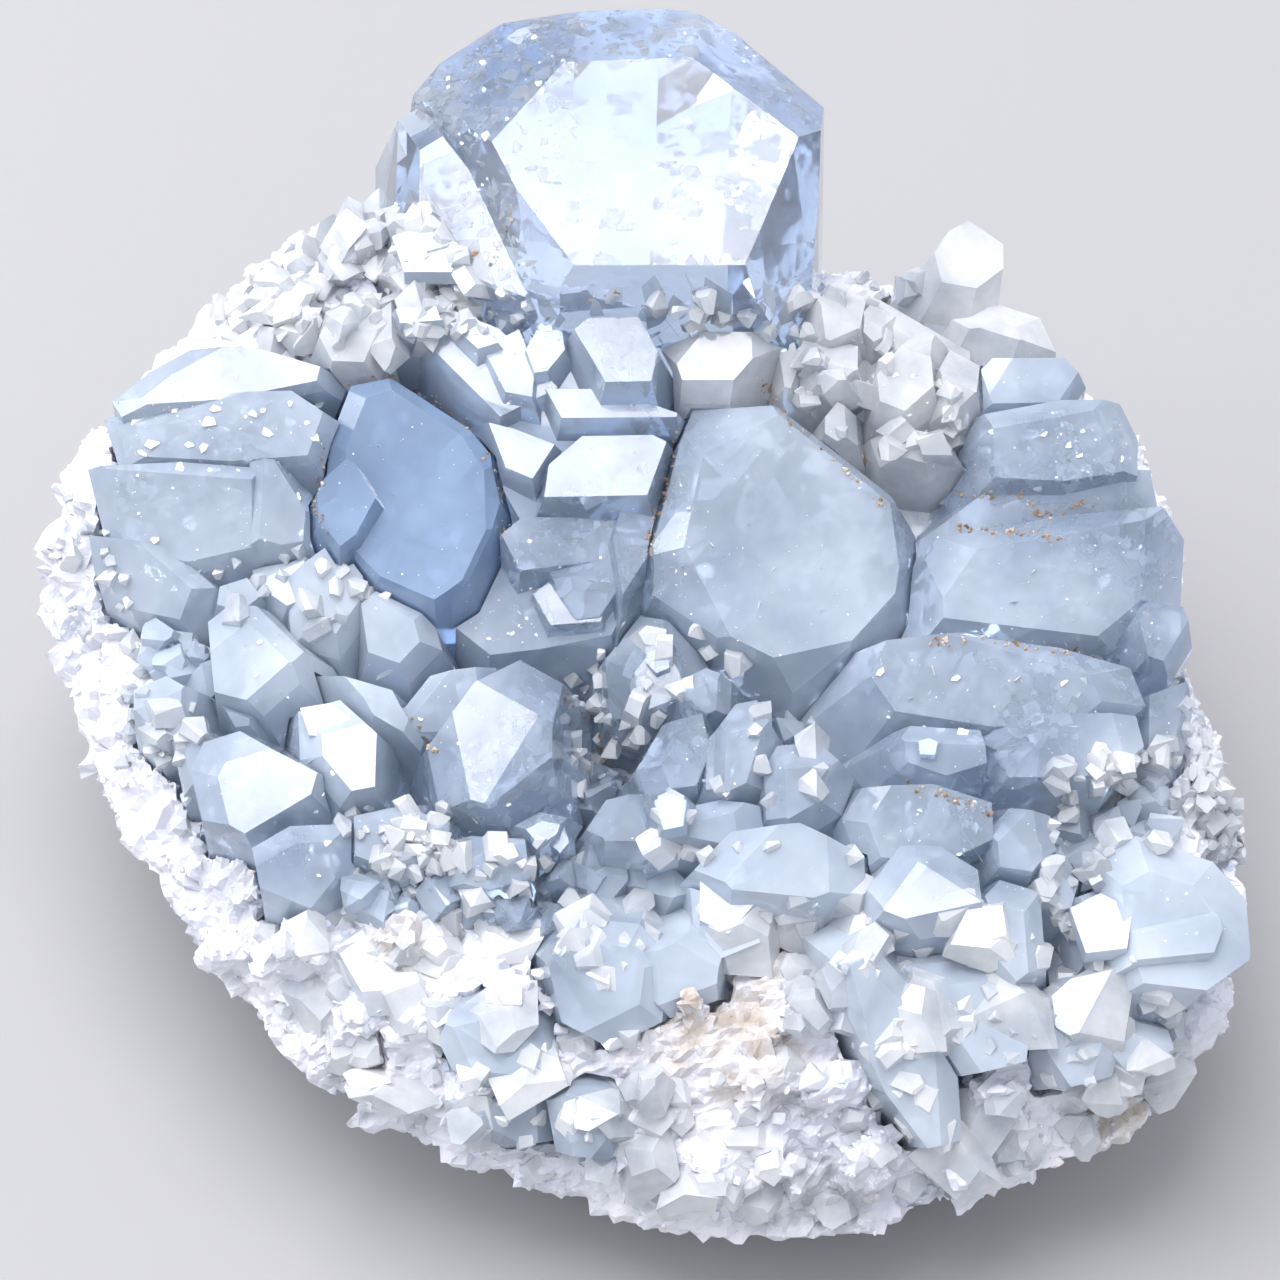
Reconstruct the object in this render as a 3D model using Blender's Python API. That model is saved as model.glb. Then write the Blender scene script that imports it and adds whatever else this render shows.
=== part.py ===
"""Celestite crystals grown together on their rounded matrix.

Metres, +Z up. The cluster rests on a small flat spot under the matrix, and the origin is
the middle of the bottom of its box. The front, where the matrix is low, faces -Y.
"""
import math
import random

import bmesh
import bpy
from mathutils import Vector, noise
from mathutils.bvhtree import BVHTree

for old_object in list(bpy.data.objects):
    bpy.data.objects.remove(old_object)

MM = 0.001

# Driving dimensions
WIDTH = 130.0 * MM              # whole cluster, side to side
GAP = 0.3 * MM                  # between two solids that touch
TRIES = 10                      # how often a cut is tried, wider each time
TRY_GROWTH = 1.7                # how fast it widens, as a power of the try's number
SOUND_SHARE = 0.9999            # least volume of a sound result, beside what is expected
HAIR = 0.031 * MM               # added where two faces would fall in one plane
ROOT = 7.0 * MM                 # how far a crystal runs on below the matrix surface
FLARE = math.radians(13.0)      # how far the sides of a crystal spread towards its root
FLAT_ANGLE = math.radians(0.05)  # faces that meet at less than this are one flat face
FLAT_SHARE = 0.30               # radius of the resting flat, as a share of the matrix radius
ROUGHNESS = 1.1 * MM            # height of the broken texture of the matrix
HOLLOW_DEPTH = 6.0 * MM         # the low place in the middle of the crystals
HOLLOW_CENTRE = Vector((-6.0, -14.0)) * MM
HOLLOW_RADIUS = 15.0 * MM
RING_POINTS = 40                # points around the matrix
RINGS = 14                      # rings from the top pole of the matrix to the bottom one
DRUSE_SPACING = 88.0            # between small crystals on the matrix, in drawn points
SLOPED_SHARE = (0.35, 0.55)     # how many of a crystal's sides end in a sloping face
SLOPE_REACH = 0.88              # how far in the sloping faces reach, beside the drawn face

# Height of the matrix surface along the middle, from front to back: (y, z)
MATRIX_PROFILE = [(-66, 15), (-61, 24), (-54, 30), (-44, 33), (-30, 34), (-14, 35), (0, 39),
                  (14, 47), (26, 56), (36, 60), (48, 58), (62, 46)]
BACK_DROP = 9.0 * MM            # how much lower the back of the matrix is on the right

# Place of a drawn point: the view that the outlines below are drawn in, 1280 points square
DRAWN_WIDTH = 1222.0            # the cluster's width in drawn points
DRAWN_CENTRE = (640.0, 640.0)
VIEW_ELEVATION = math.radians(50.0)
VIEW_DISTANCE = 0.46
VIEW_TARGET = Vector((0.0, 0.0, 36.0 * MM))
POINT_SIZE = WIDTH / DRAWN_WIDTH

TO_VIEWER = Vector((0.0, -math.cos(VIEW_ELEVATION), math.sin(VIEW_ELEVATION)))
VIEW_RIGHT = Vector((1.0, 0.0, 0.0))
VIEW_UP = Vector((0.0, math.sin(VIEW_ELEVATION), math.cos(VIEW_ELEVATION)))
VIEWER = VIEW_TARGET + TO_VIEWER * VIEW_DISTANCE
GROWTH = Vector((0.0, -0.30, 0.95)).normalized()    # the way most crystals point

# Belly of the matrix, where it is widest: drawn x, drawn y, height in millimetres
BELLY_DRAWN = [
    (33, 530, 35), (42, 630, 33), (72, 730, 30), (128, 845, 27), (203, 963, 23),
    (300, 1074, 19), (425, 1151, 16), (560, 1200, 14), (700, 1236, 13), (850, 1234, 13),
    (985, 1201, 14), (1105, 1151, 16), (1198, 1081, 19), (1242, 975, 23), (1252, 870, 27),
    (1225, 757, 31), (1190, 650, 35), (1181, 540, 39), (1140, 440, 43), (1078, 382, 46),
]
BELLY_BACK = [(42, 38, 44), (32, 44, 43), (20, 48, 41), (6, 56, 40), (-10, 60, 39),
              (-25, 57, 39), (-40, 50, 40), (-51, 38, 41), (-58, 29, 40)]


def view_ray(drawn):
    """Direction from the viewer through a drawn point."""
    across = (drawn[0] - DRAWN_CENTRE[0]) * POINT_SIZE
    up = (DRAWN_CENTRE[1] - drawn[1]) * POINT_SIZE
    return (VIEW_RIGHT * across + VIEW_UP * up - TO_VIEWER * VIEW_DISTANCE).normalized()


def at_height(drawn, height):
    """The point at a height, seen at a drawn point."""
    ray = view_ray(drawn)
    return VIEWER + ray * ((height - VIEWER.z) / ray.z)


def on_plane(drawn, origin, normal):
    """The point of a plane, seen at a drawn point."""
    ray = view_ray(drawn)
    return VIEWER + ray * ((origin - VIEWER).dot(normal) / ray.dot(normal))


def smooth_cycle(points, share):
    """A closed smooth curve through points, read at a share of its way round."""
    count = len(points)
    place = share * count
    index = int(math.floor(place))
    t = place - index
    p0, p1, p2, p3 = (points[(index + k) % count] for k in (-1, 0, 1, 2))
    return 0.5 * ((2 * p1) + (p2 - p0) * t + (2 * p0 - 5 * p1 + 4 * p2 - p3) * t * t
                  + (3 * p1 - p0 - 3 * p2 + p3) * t ** 3)


def profile_height(y):
    """Height of the matrix surface along the middle."""
    y_mm = y / MM
    points = MATRIX_PROFILE
    if y_mm <= points[0][0]:
        return points[0][1] * MM
    for (y0, z0), (y1, z1) in zip(points, points[1:]):
        if y_mm <= y1:
            t = (y_mm - y0) / (y1 - y0)
            return (z0 + (z1 - z0) * t) * MM
    return points[-1][1] * MM


def belly_points():
    """The belly as points in space, round from the left."""
    front = [at_height((x, y), z * MM) for x, y, z in BELLY_DRAWN]
    back = [Vector((x, y, z)) * MM for x, y, z in BELLY_BACK]
    return front + back


BELLY = belly_points()
MIDDLE = sum(BELLY, Vector()) / len(BELLY)
MIDDLE.z = 0.0


def belly_at_angle(angle):
    """The belly point that lies at an angle round the middle."""
    steps = 240
    best = None
    for step in range(steps):
        point = smooth_cycle(BELLY, step / steps)
        turn = math.atan2(point.y - MIDDLE.y, point.x - MIDDLE.x)
        miss = abs(math.atan2(math.sin(turn - angle), math.cos(turn - angle)))
        if best is None or miss < best[0]:
            best = (miss, point)
    return best[1]


BELLY_TURN = [belly_at_angle(2 * math.pi * k / RING_POINTS) for k in range(RING_POINTS)]


def smooth_step(low, high, value):
    """A smooth change from 0 to 1 as a value goes from low to high."""
    t = max(0.0, min(1.0, (value - low) / (high - low)))
    return t * t * (3 - 2 * t)


def surface_height(x, y):
    """Height of the smooth matrix surface over a place on the ground."""
    offset = Vector((x - MIDDLE.x, y - MIDDLE.y))
    angle = math.atan2(offset.y, offset.x) / (2 * math.pi) * RING_POINTS
    low = int(math.floor(angle))
    t = angle - low
    edge = BELLY_TURN[low % RING_POINTS].lerp(BELLY_TURN[(low + 1) % RING_POINTS], t)
    radius = (edge.xy - MIDDLE.xy).length
    share = min(offset.length / radius, 1.0)
    rise = math.sqrt(max(0.0, 1.0 - share ** 7))
    crest = profile_height(y)
    crest -= BACK_DROP * smooth_step(8 * MM, 26 * MM, x) * smooth_step(10 * MM, 34 * MM, y)
    height = edge.z + (crest - edge.z) * rise
    from_hollow = (Vector((x, y)) - HOLLOW_CENTRE).length / HOLLOW_RADIUS
    return height - HOLLOW_DEPTH * math.exp(-from_hollow ** 2)


def above_matrix(drawn, proud):
    """The point seen at a drawn point that stands a distance above the matrix surface."""
    low, high = 0.0, 0.12
    for _ in range(28):
        middle = (low + high) / 2
        point = at_height(drawn, middle)
        if middle - surface_height(point.x, point.y) < proud:
            low = middle
        else:
            high = middle
    return at_height(drawn, (low + high) / 2)


def leaning(lean):
    """A direction that leans from the viewer by a share to the right and a share up."""
    return (TO_VIEWER + VIEW_RIGHT * lean[0] + VIEW_UP * lean[1]).normalized()


def plane_through(a, b, c, inside):
    """Plane through three points, as (point, outward normal)."""
    normal = (b - a).cross(c - a).normalized()
    if (inside - a).dot(normal) > 0:
        normal.negate()
    return (a, normal)


def scaled(outline, focus, size):
    """An outline drawn smaller about a focus; size is one number or one for each way."""
    size_x, size_y = size if isinstance(size, tuple) else (size, size)
    return [(focus[0] + (x - focus[0]) * size_x, focus[1] + (y - focus[1]) * size_y)
            for x, y in outline]


def centre_of(outline):
    """Mean of an outline's points."""
    count = len(outline)
    return (sum(p[0] for p in outline) / count, sum(p[1] for p in outline) / count)


def gem(outline, proud, lean, lift, face=0.6, rim=None, axis=None, root=ROOT, flare=FLARE,
        sloped=None):
    """Planes of one crystal.

    outline  drawn outline of its girdle
    proud    height of the middle of its end face above the matrix, in millimetres
    lean     how the end face leans from the viewer, to the right and up
    lift     distance from the girdle up to the end face, in millimetres
    face     end face: its size beside the outline, or its own drawn outline
    rim      one drawn girdle point for each side of the end face, where that is drawn
    axis     direction of the prism, outward
    root     how far it runs on below the matrix surface
    flare    how far its sides spread towards the root, as an angle
    sloped   numbers of the sides that end in a sloping face; on the others the side
             runs up to the end face
    """
    normal = leaning(lean)
    axis = axis or GROWTH
    middle = centre_of(outline)
    if isinstance(face, list):
        face_outline = face
        middle = centre_of(face)
    else:
        face_outline = scaled(outline, middle, face)
    top = above_matrix(middle, proud * MM)
    girdle = top - normal * (lift * MM)
    inside = girdle - axis * MM
    planes = [(top, normal)]
    corners = [on_plane(p, girdle, normal) for p in outline]
    for a, b in zip(corners, corners[1:] + corners[:1]):
        outward = (b - a).cross(axis).normalized()
        if (inside - a).dot(outward) > 0:
            outward.negate()
        down = outward * math.sin(flare) - axis * math.cos(flare)
        planes.append(plane_through(a, b, a + down * 0.01, inside))
    tops = [on_plane(p, top, normal) for p in face_outline]
    for index, (a, b) in enumerate(zip(tops, tops[1:] + tops[:1])):
        if sloped is not None and index not in sloped:
            continue
        if rim:
            low = on_plane(rim[index], girdle, normal)
        else:
            low = (corners[index] + corners[(index + 1) % len(corners)]) / 2
        planes.append(plane_through(a, b, low, inside))
    bottom = top - axis * (proud * MM + root)
    planes.append((bottom, -axis))
    return planes


def hull_of(points):
    """A mesh that closes round points, flat faces whole."""
    mesh = bmesh.new()
    for point in points:
        mesh.verts.new(point)
    bmesh.ops.remove_doubles(mesh, verts=mesh.verts[:], dist=5e-6)
    made = bmesh.ops.convex_hull(mesh, input=mesh.verts[:])
    spare = {v for v in made["geom_interior"] + made["geom_unused"]
             if isinstance(v, bmesh.types.BMVert)}
    bmesh.ops.delete(mesh, geom=list(spare), context="VERTS")
    bmesh.ops.dissolve_limit(mesh, angle_limit=FLAT_ANGLE, verts=mesh.verts[:], edges=mesh.edges[:])
    bmesh.ops.recalc_face_normals(mesh, faces=mesh.faces[:])
    return mesh


def solid(planes, grow=0.0):
    """The convex solid inside a list of planes, grown by a distance."""
    mesh = bmesh.new()
    bmesh.ops.create_cube(mesh, size=0.4)
    for point, normal in planes:
        everything = mesh.verts[:] + mesh.edges[:] + mesh.faces[:]
        bmesh.ops.bisect_plane(mesh, geom=everything, dist=1e-7, plane_co=point + normal * grow,
                               plane_no=normal, clear_outer=True)
        corners = [v.co.copy() for v in mesh.verts]
        mesh.free()
        mesh = hull_of(corners)
    bmesh.ops.triangulate(mesh, faces=mesh.faces[:])
    return mesh


MIRROR = (-0.08, 0.40)      # lean of the end faces that lie level, the way the steps do
STEP_LIFT = 0.5             # from the girdle of a step or a plate up to its face, in millimetres


def great_crystal():
    """The large clear crystal that stands at the back, with a chamfered end."""
    outline = [(393, 118), (440, 61), (494, 38), (580, 12), (664, 11), (736, 32), (824, 115),
               (819, 190), (804, 312), (775, 330), (560, 330), (470, 258), (391, 170)]
    face = [(486, 148), (564, 62), (692, 57), (799, 137), (759, 233), (740, 276), (564, 280),
            (516, 188)]
    rim = [(455, 52), (622, 9), (760, 54), (822, 190), (800, 300), (670, 322), (500, 262),
           (392, 140)]
    main = gem(outline, 17.5, MIRROR, 7.5, face=face, rim=rim, root=8 * MM,
               flare=math.radians(1.0), axis=Vector((0.0, 0.13, 1.0)).normalized())
    side = [(398, 120), (430, 100), (500, 190), (560, 300), (548, 330), (470, 300), (396, 200)]
    low = gem(side, 10.0, (-0.25, 0.25), 3.0, face=0.7)
    return [main, low]


def stepped_crystal():
    """Level steps that go down to the front, each a slab of one hopper-grown crystal."""
    steps = [
        ([(573, 331), (592, 316), (620, 297), (632, 304), (659, 354), (652, 384), (605, 385)],
         15.0),
        ([(543, 388), (570, 378), (606, 390), (652, 390), (681, 404), (677, 420), (561, 421)],
         12.6),
        ([(543, 500), (548, 466), (582, 437), (653, 436), (668, 443), (648, 498)], 12.6),
        ([(487, 423), (515, 430), (556, 446), (533, 482), (505, 470)], 11.2),
        ([(481, 349), (520, 330), (536, 372), (533, 400), (505, 395)], 11.6),
        ([(448, 325), (476, 318), (500, 345), (478, 352)], 11.5),
        ([(396, 309), (436, 306), (441, 322), (400, 324)], 10.5),
        ([(525, 352), (543, 318), (562, 324), (566, 352), (548, 374), (534, 376)], 12.0),
        ([(532, 596), (559, 574), (602, 573), (607, 590), (602, 624), (550, 628)], 9.4),
    ]
    turned = [
        ([(500, 536), (522, 518), (620, 518), (650, 524), (628, 560), (520, 574)], 10.2,
         (0.10, 0.12)),
        ([(432, 612), (470, 560), (530, 560), (640, 570), (636, 592), (612, 638), (540, 652),
          (490, 658)], 7.4, (-0.10, 0.16)),
        ([(630, 470), (672, 440), (660, 500), (648, 560), (622, 600), (612, 540)], 10.8,
         (0.30, 0.20)),
        ([(420, 330), (560, 330), (660, 372), (664, 470), (640, 560), (600, 620), (500, 630),
          (460, 570), (490, 470), (440, 380)], 8.6, (-0.06, 0.14)),
        ([(392, 312), (440, 306), (500, 330), (560, 390), (500, 420), (430, 350)], 8.8,
         (-0.16, 0.18)),
    ]
    planes = [gem(outline, proud, MIRROR, STEP_LIFT, sloped=()) for outline, proud in steps]
    planes += [gem(outline, proud, lean, STEP_LIFT, sloped=()) for outline, proud, lean in turned]
    return planes


def round_crystal():
    """The six-sided crystal with a broad milky end face."""
    outline = [(695, 408), (779, 411), (891, 498), (914, 533), (902, 614), (854, 667),
               (793, 694), (714, 655), (655, 591), (651, 549), (678, 445)]
    face = [(703, 454), (779, 415), (890, 503), (904, 600), (854, 640), (745, 664), (684, 547)]
    rim = [(722, 408), (842, 454), (911, 560), (892, 635), (793, 694), (680, 628), (655, 500)]
    return [gem(outline, 13.0, (0.10, 0.12), 4.0, face=face, rim=rim)]


def blue_crystal():
    """The smooth deep blue crystal, with a thin six-sided plate on its left."""
    outline = [(351, 386), (392, 379), (469, 429), (491, 455), (500, 502), (494, 535),
               (469, 588), (435, 610), (375, 586), (343, 551), (322, 520), (330, 440)]
    face = [(366, 398), (392, 390), (462, 436), (484, 470), (486, 530), (462, 580), (435, 600),
            (380, 576), (350, 545), (346, 450)]
    rim = [(370, 380), (430, 402), (490, 450), (500, 505), (485, 560), (452, 600), (405, 600),
           (355, 566), (324, 500), (330, 420)]
    main = gem(outline, 10.5, (-0.12, 0.16), 1.6, face=face, rim=rim)
    plate = [(347, 459), (357, 466), (377, 500), (357, 537), (340, 550), (318, 521), (316, 495),
             (324, 480)]
    return [main, gem(plate, 12.0, (-0.22, 0.10), STEP_LIFT, sloped=())]


# Crystals that need only an outline: drawn outline, height above the matrix, lean right and
# up, lift of the end face over the girdle, size of the end face
LEFT_BLOCK = [
    ([(112, 402), (150, 372), (190, 350), (262, 352), (330, 372), (322, 404), (230, 410),
      (130, 430)], 9.0, (-0.05, 0.45), 1.6, 0.80),
    ([(104, 420), (180, 398), (300, 396), (336, 420), (318, 470), (240, 476), (120, 470)],
     9.5, (-0.18, 0.10), 2.0, 0.85),
    ([(88, 470), (180, 462), (262, 468), (262, 560), (196, 575), (110, 560)],
     8.0, (-0.10, -0.18), 1.4, 0.88),
    ([(250, 462), (322, 466), (318, 520), (338, 552), (290, 560), (245, 548)],
     8.6, (0.12, -0.08), 1.6, 0.80),
    ([(92, 540), (170, 548), (216, 588), (196, 642), (140, 630), (100, 590)],
     6.0, (-0.16, -0.30), 2.0, 0.70),
]
LEFT_SMALL = [
    ([(236, 534), (262, 528), (284, 545), (268, 566), (240, 560)], 6.0, (0.1, 0.2), 1.5, 0.5),
    ([(252, 566), (284, 552), (322, 566), (318, 606), (282, 622), (250, 600)], 6.6,
     (-0.12, 0.30), 2.2, 0.55),
    ([(286, 580), (330, 548), (366, 560), (374, 612), (340, 660), (292, 648)], 7.4,
     (0.16, 0.10), 2.4, 0.62),
    ([(356, 612), (390, 582), (430, 606), (442, 650), (410, 684), (364, 668)], 6.8,
     (-0.20, -0.05), 2.4, 0.55),
    ([(218, 590), (250, 580), (268, 604), (244, 622), (214, 614)], 5.4, (-0.3, 0.1), 1.5, 0.5),
]
LOWER_LEFT = [
    ([(208, 622), (226, 608), (256, 606), (304, 652), (300, 684), (264, 716), (216, 704)],
     9.0, (-0.16, 0.14), 2.2, 0.62),
    ([(190, 770), (204, 742), (240, 731), (331, 778), (323, 806), (252, 848), (202, 820)],
     8.2, (0.06, 0.24), 2.4, 0.60),
    ([(172, 742), (200, 730), (224, 752), (216, 792), (184, 796)], 6.2, (-0.3, 0.0), 1.8, 0.5),
    ([(252, 848), (290, 826), (350, 824), (356, 880), (320, 924), (262, 900)],
     5.6, (0.10, -0.16), 2.0, 0.66),
    ([(134, 690), (166, 676), (198, 692), (196, 744), (160, 760), (136, 736)],
     6.0, (-0.22, 0.06), 2.0, 0.55),
    ([(196, 664), (216, 700), (262, 716), (262, 742), (214, 748), (190, 716)],
     5.6, (-0.05, -0.25), 2.0, 0.5),
]
CENTRE_LEFT = [
    ([(427, 748), (470, 690), (520, 660), (563, 684), (560, 794), (511, 832), (440, 812)],
     13.0, (0.02, 0.22), 3.6, 0.62),
    ([(398, 716), (430, 676), (496, 668), (500, 716), (440, 748), (404, 750)],
     9.4, (-0.18, -0.22), 2.0, 0.72),
    ([(298, 712), (340, 700), (384, 740), (382, 800), (340, 808), (300, 760)],
     8.4, (-0.10, 0.36), 2.6, 0.50),
    ([(344, 676), (392, 690), (424, 742), (420, 752), (372, 724)], 9.0, (0.25, 0.1), 1.6, 0.5),
    ([(514, 826), (540, 812), (568, 818), (560, 842), (540, 856)], 8.4, (-0.02, 0.30), 1.6, 0.6),
    ([(430, 850), (470, 836), (530, 842), (536, 890), (490, 904), (436, 890)],
     5.0, (-0.08, 0.05), 2.2, 0.45),
    ([(350, 820), (400, 806), (450, 822), (446, 868), (400, 884), (352, 866)],
     5.4, (-0.2, 0.2), 2.0, 0.5),
]
CENTRE_LOW = [
    ([(605, 660), (640, 616), (690, 630), (712, 676), (700, 722), (650, 740), (610, 720)],
     11.0, (-0.10, 0.30), 2.8, 0.50),
    ([(681, 680), (706, 668), (732, 682), (730, 716), (700, 728), (682, 712)],
     12.6, (0.14, 0.16), 1.8, 0.5),
    ([(708, 740), (736, 704), (757, 700), (780, 740), (764, 790), (726, 808), (706, 790)],
     12.4, (0.04, 0.26), 2.6, 0.50),
    ([(764, 768), (777, 746), (818, 742), (855, 778), (842, 816), (796, 842), (766, 820)],
     10.6, (0.16, 0.16), 2.6, 0.52),
    ([(636, 770), (664, 724), (706, 716), (716, 760), (700, 800), (650, 806)],
     11.0, (-0.06, 0.10), 2.4, 0.46),
    ([(652, 800), (672, 790), (690, 800), (686, 828), (660, 834)], 12.0, (-0.06, 0.36), 1.2, 0.72),
    ([(586, 830), (606, 800), (650, 794), (668, 826), (650, 858), (604, 858)],
     8.6, (-0.14, 0.06), 2.2, 0.5),
    ([(694, 870), (730, 832), (800, 826), (864, 856), (866, 896), (810, 916), (730, 908)],
     8.4, (0.06, 0.12), 2.8, 0.62),
    ([(664, 812), (720, 800), (760, 806), (766, 846), (710, 858), (670, 850)],
     8.6, (0.0, 0.05), 1.8, 0.5),
]
CLEAR_CLUSTER = [
    ([(661, 350), (684, 322), (726, 300), (778, 328), (779, 348), (730, 404), (680, 404)],
     12.0, (-0.04, 0.16), 2.6, 0.62),
    ([(800, 320), (838, 282), (866, 300), (866, 350), (830, 366), (804, 350)],
     12.6, (0.10, 0.28), 3.6, 0.34),
    ([(858, 320), (872, 302), (896, 316), (896, 350), (872, 362), (856, 346)],
     11.4, (0.30, 0.24), 2.8, 0.36),
    ([(794, 372), (820, 336), (858, 346), (864, 390), (836, 412), (798, 402)],
     12.4, (-0.16, 0.12), 3.2, 0.40),
    ([(868, 386), (896, 352), (936, 366), (940, 410), (908, 438), (872, 424)],
     12.8, (0.06, 0.16), 3.2, 0.40),
    ([(896, 350), (920, 330), (946, 346), (942, 380), (912, 384)],
     11.2, (0.20, 0.30), 2.4, 0.36),
    ([(926, 388), (950, 350), (980, 366), (982, 414), (956, 438), (930, 424)],
     11.4, (0.30, 0.14), 3.0, 0.40),
    ([(820, 424), (836, 404), (856, 416), (858, 446), (836, 454), (820, 444)],
     10.6, (-0.05, 0.05), 1.8, 0.5),
    ([(870, 440), (900, 432), (944, 440), (962, 466), (930, 482), (880, 468)],
     9.4, (0.05, -0.1), 2.2, 0.45),
    ([(770, 360), (796, 344), (806, 376), (796, 404), (776, 400)], 9.4, (-0.3, 0.1), 2.0, 0.4),
    ([(778, 330), (880, 300), (970, 352), (974, 440), (880, 470), (800, 430), (762, 390)],
     6.4, (0.05, 0.10), 1.5, 0.9),
]
RIGHT_STACK = [
    ([(968, 380), (985, 362), (1060, 362), (1086, 388), (1070, 412), (980, 414)],
     9.0, (0.10, 0.42), 1.6, 0.80),
    ([(978, 440), (984, 414), (1060, 400), (1120, 404), (1138, 440), (1134, 488), (1060, 500),
      (978, 496)], 10.5, (0.10, 0.10), 2.6, 0.74),
    ([(925, 560), (950, 524), (1060, 516), (1150, 500), (1184, 540), (1180, 610), (1120, 660),
      (1010, 650), (925, 640)], 10.2, (0.04, 0.04), 2.8, 0.78),
    ([(1124, 632), (1136, 606), (1176, 612), (1192, 648), (1170, 684), (1134, 672)],
     8.6, (0.30, 0.0), 2.4, 0.55),
    ([(852, 690), (872, 646), (940, 638), (1060, 648), (1130, 668), (1146, 706), (1100, 744),
      (980, 746), (880, 730)], 11.0, (-0.02, 0.04), 2.6, 0.80),
    ([(980, 742), (1010, 716), (1136, 716), (1144, 746), (1110, 786), (1000, 788)],
     9.0, (0.05, 0.30), 1.6, 0.82),
    ([(1136, 700), (1180, 684), (1193, 712), (1176, 788), (1150, 796), (1136, 760)],
     6.0, (0.35, -0.10), 2.0, 0.60),
    ([(884, 748), (910, 726), (980, 730), (984, 782), (940, 796), (888, 778)],
     9.4, (-0.10, -0.05), 2.2, 0.60),
    ([(920, 540), (1000, 480), (1150, 470), (1168, 560), (1160, 700), (1000, 740), (900, 720)],
     5.5, (0.04, 0.04), 1.0, 0.9),
]
LOWER_RIGHT = [
    ([(842, 820), (862, 788), (930, 786), (992, 806), (994, 850), (930, 880), (862, 872)],
     8.6, (-0.02, 0.02), 2.2, 0.74),
    ([(988, 830), (1010, 808), (1050, 816), (1056, 850), (1030, 882), (992, 876)],
     8.8, (0.12, 0.10), 1.8, 0.60),
    ([(868, 890), (900, 846), (940, 846), (978, 870), (984, 926), (920, 940), (874, 922)],
     8.4, (-0.08, 0.22), 2.4, 0.55),
    ([(976, 900), (1000, 880), (1040, 892), (1046, 970), (1010, 996), (980, 960)],
     6.8, (0.10, 0.16), 2.4, 0.55),
    ([(1068, 900), (1096, 890), (1136, 900), (1132, 948), (1090, 956)], 5.6, (0.1, 0.3), 1.6, 0.6),
    ([(1030, 856), (1060, 846), (1080, 880), (1070, 920), (1040, 910)], 6.0, (0.2, 0.1), 1.8, 0.5),
]
CORNER_CRYSTAL = [
    ([(1092, 862), (1137, 836), (1213, 862), (1246, 900), (1238, 970), (1190, 1004),
      (1120, 996), (1092, 930)], 7.4, (0.10, 0.14), 3.0, 0.66),
    ([(1128, 930), (1214, 912), (1220, 930), (1210, 958), (1130, 966)], 8.8, (0.05, 0.3), 0.8, 0.85),
]
FAR_CRYSTAL = [
    ([(910, 282), (929, 254), (955, 240), (972, 251), (998, 269), (998, 306), (966, 330),
      (920, 322)], 9.0, (0.12, 0.26), 3.6, 0.45),
    ([(948, 318), (985, 300), (1040, 318), (1056, 352), (1010, 366), (958, 350)],
     5.4, (0.2, 0.3), 2.4, 0.45),
]
RIDGE_CRYSTALS = [
    ([(390, 250), (396, 226), (430, 222), (462, 244), (456, 276), (410, 276)],
     9.0, (-0.10, 0.40), 1.8, 0.70),
    ([(314, 350), (330, 312), (376, 308), (398, 340), (380, 382), (330, 380)],
     8.6, (-0.05, 0.10), 2.8, 0.45),
    ([(440, 262), (476, 240), (520, 262), (540, 300), (500, 322), (452, 310)],
     7.4, (-0.05, 0.12), 2.4, 0.5),
]
FRONT_LEFT_BLOCK = [
    ([(438, 1040), (450, 1010), (482, 1002), (532, 1010), (552, 1050), (548, 1094), (500, 1090),
      (452, 1070)], 3.6, (-0.10, 0.05), 1.6, 0.70),
    ([(464, 1110), (500, 1086), (552, 1088), (556, 1140), (505, 1148), (470, 1132)],
     3.0, (-0.05, -0.15), 1.6, 0.70),
    ([(546, 1100), (572, 1084), (622, 1090), (634, 1130), (610, 1160), (556, 1152)],
     3.8, (0.12, 0.0), 1.8, 0.70),
]
FRONT_MIDDLE_BLOCK = [
    ([(544, 962), (580, 918), (640, 924), (670, 960), (662, 1022), (610, 1048), (558, 1022)],
     3.6, (-0.06, 0.10), 2.0, 0.66),
    ([(640, 952), (690, 930), (724, 950), (718, 1000), (670, 1018), (642, 992)],
     3.2, (0.10, -0.05), 1.6, 0.66),
    ([(690, 890), (722, 868), (754, 890), (764, 942), (720, 960), (694, 930)],
     4.4, (0.02, 0.22), 1.6, 0.70),
]
FRONT_BLADE = [
    ([(834, 962), (872, 944), (908, 984), (958, 1078), (962, 1140), (922, 1148), (878, 1090),
      (850, 1020)], 4.4, (0.20, -0.06), 1.8, 0.72),
    ([(900, 966), (986, 958), (1032, 1000), (1026, 1060), (962, 1076), (924, 1020)],
     3.8, (0.06, 0.14), 1.8, 0.66),
]
FRONT_RIGHT_BLOCK = [
    ([(1036, 1002), (1090, 984), (1128, 1020), (1112, 1076), (1060, 1088), (1034, 1050)],
     3.8, (0.16, 0.06), 1.8, 0.66),
    ([(1098, 1050), (1130, 1020), (1168, 1030), (1170, 1066), (1130, 1086)],
     3.0, (0.30, 0.0), 1.6, 0.60),
]
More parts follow.
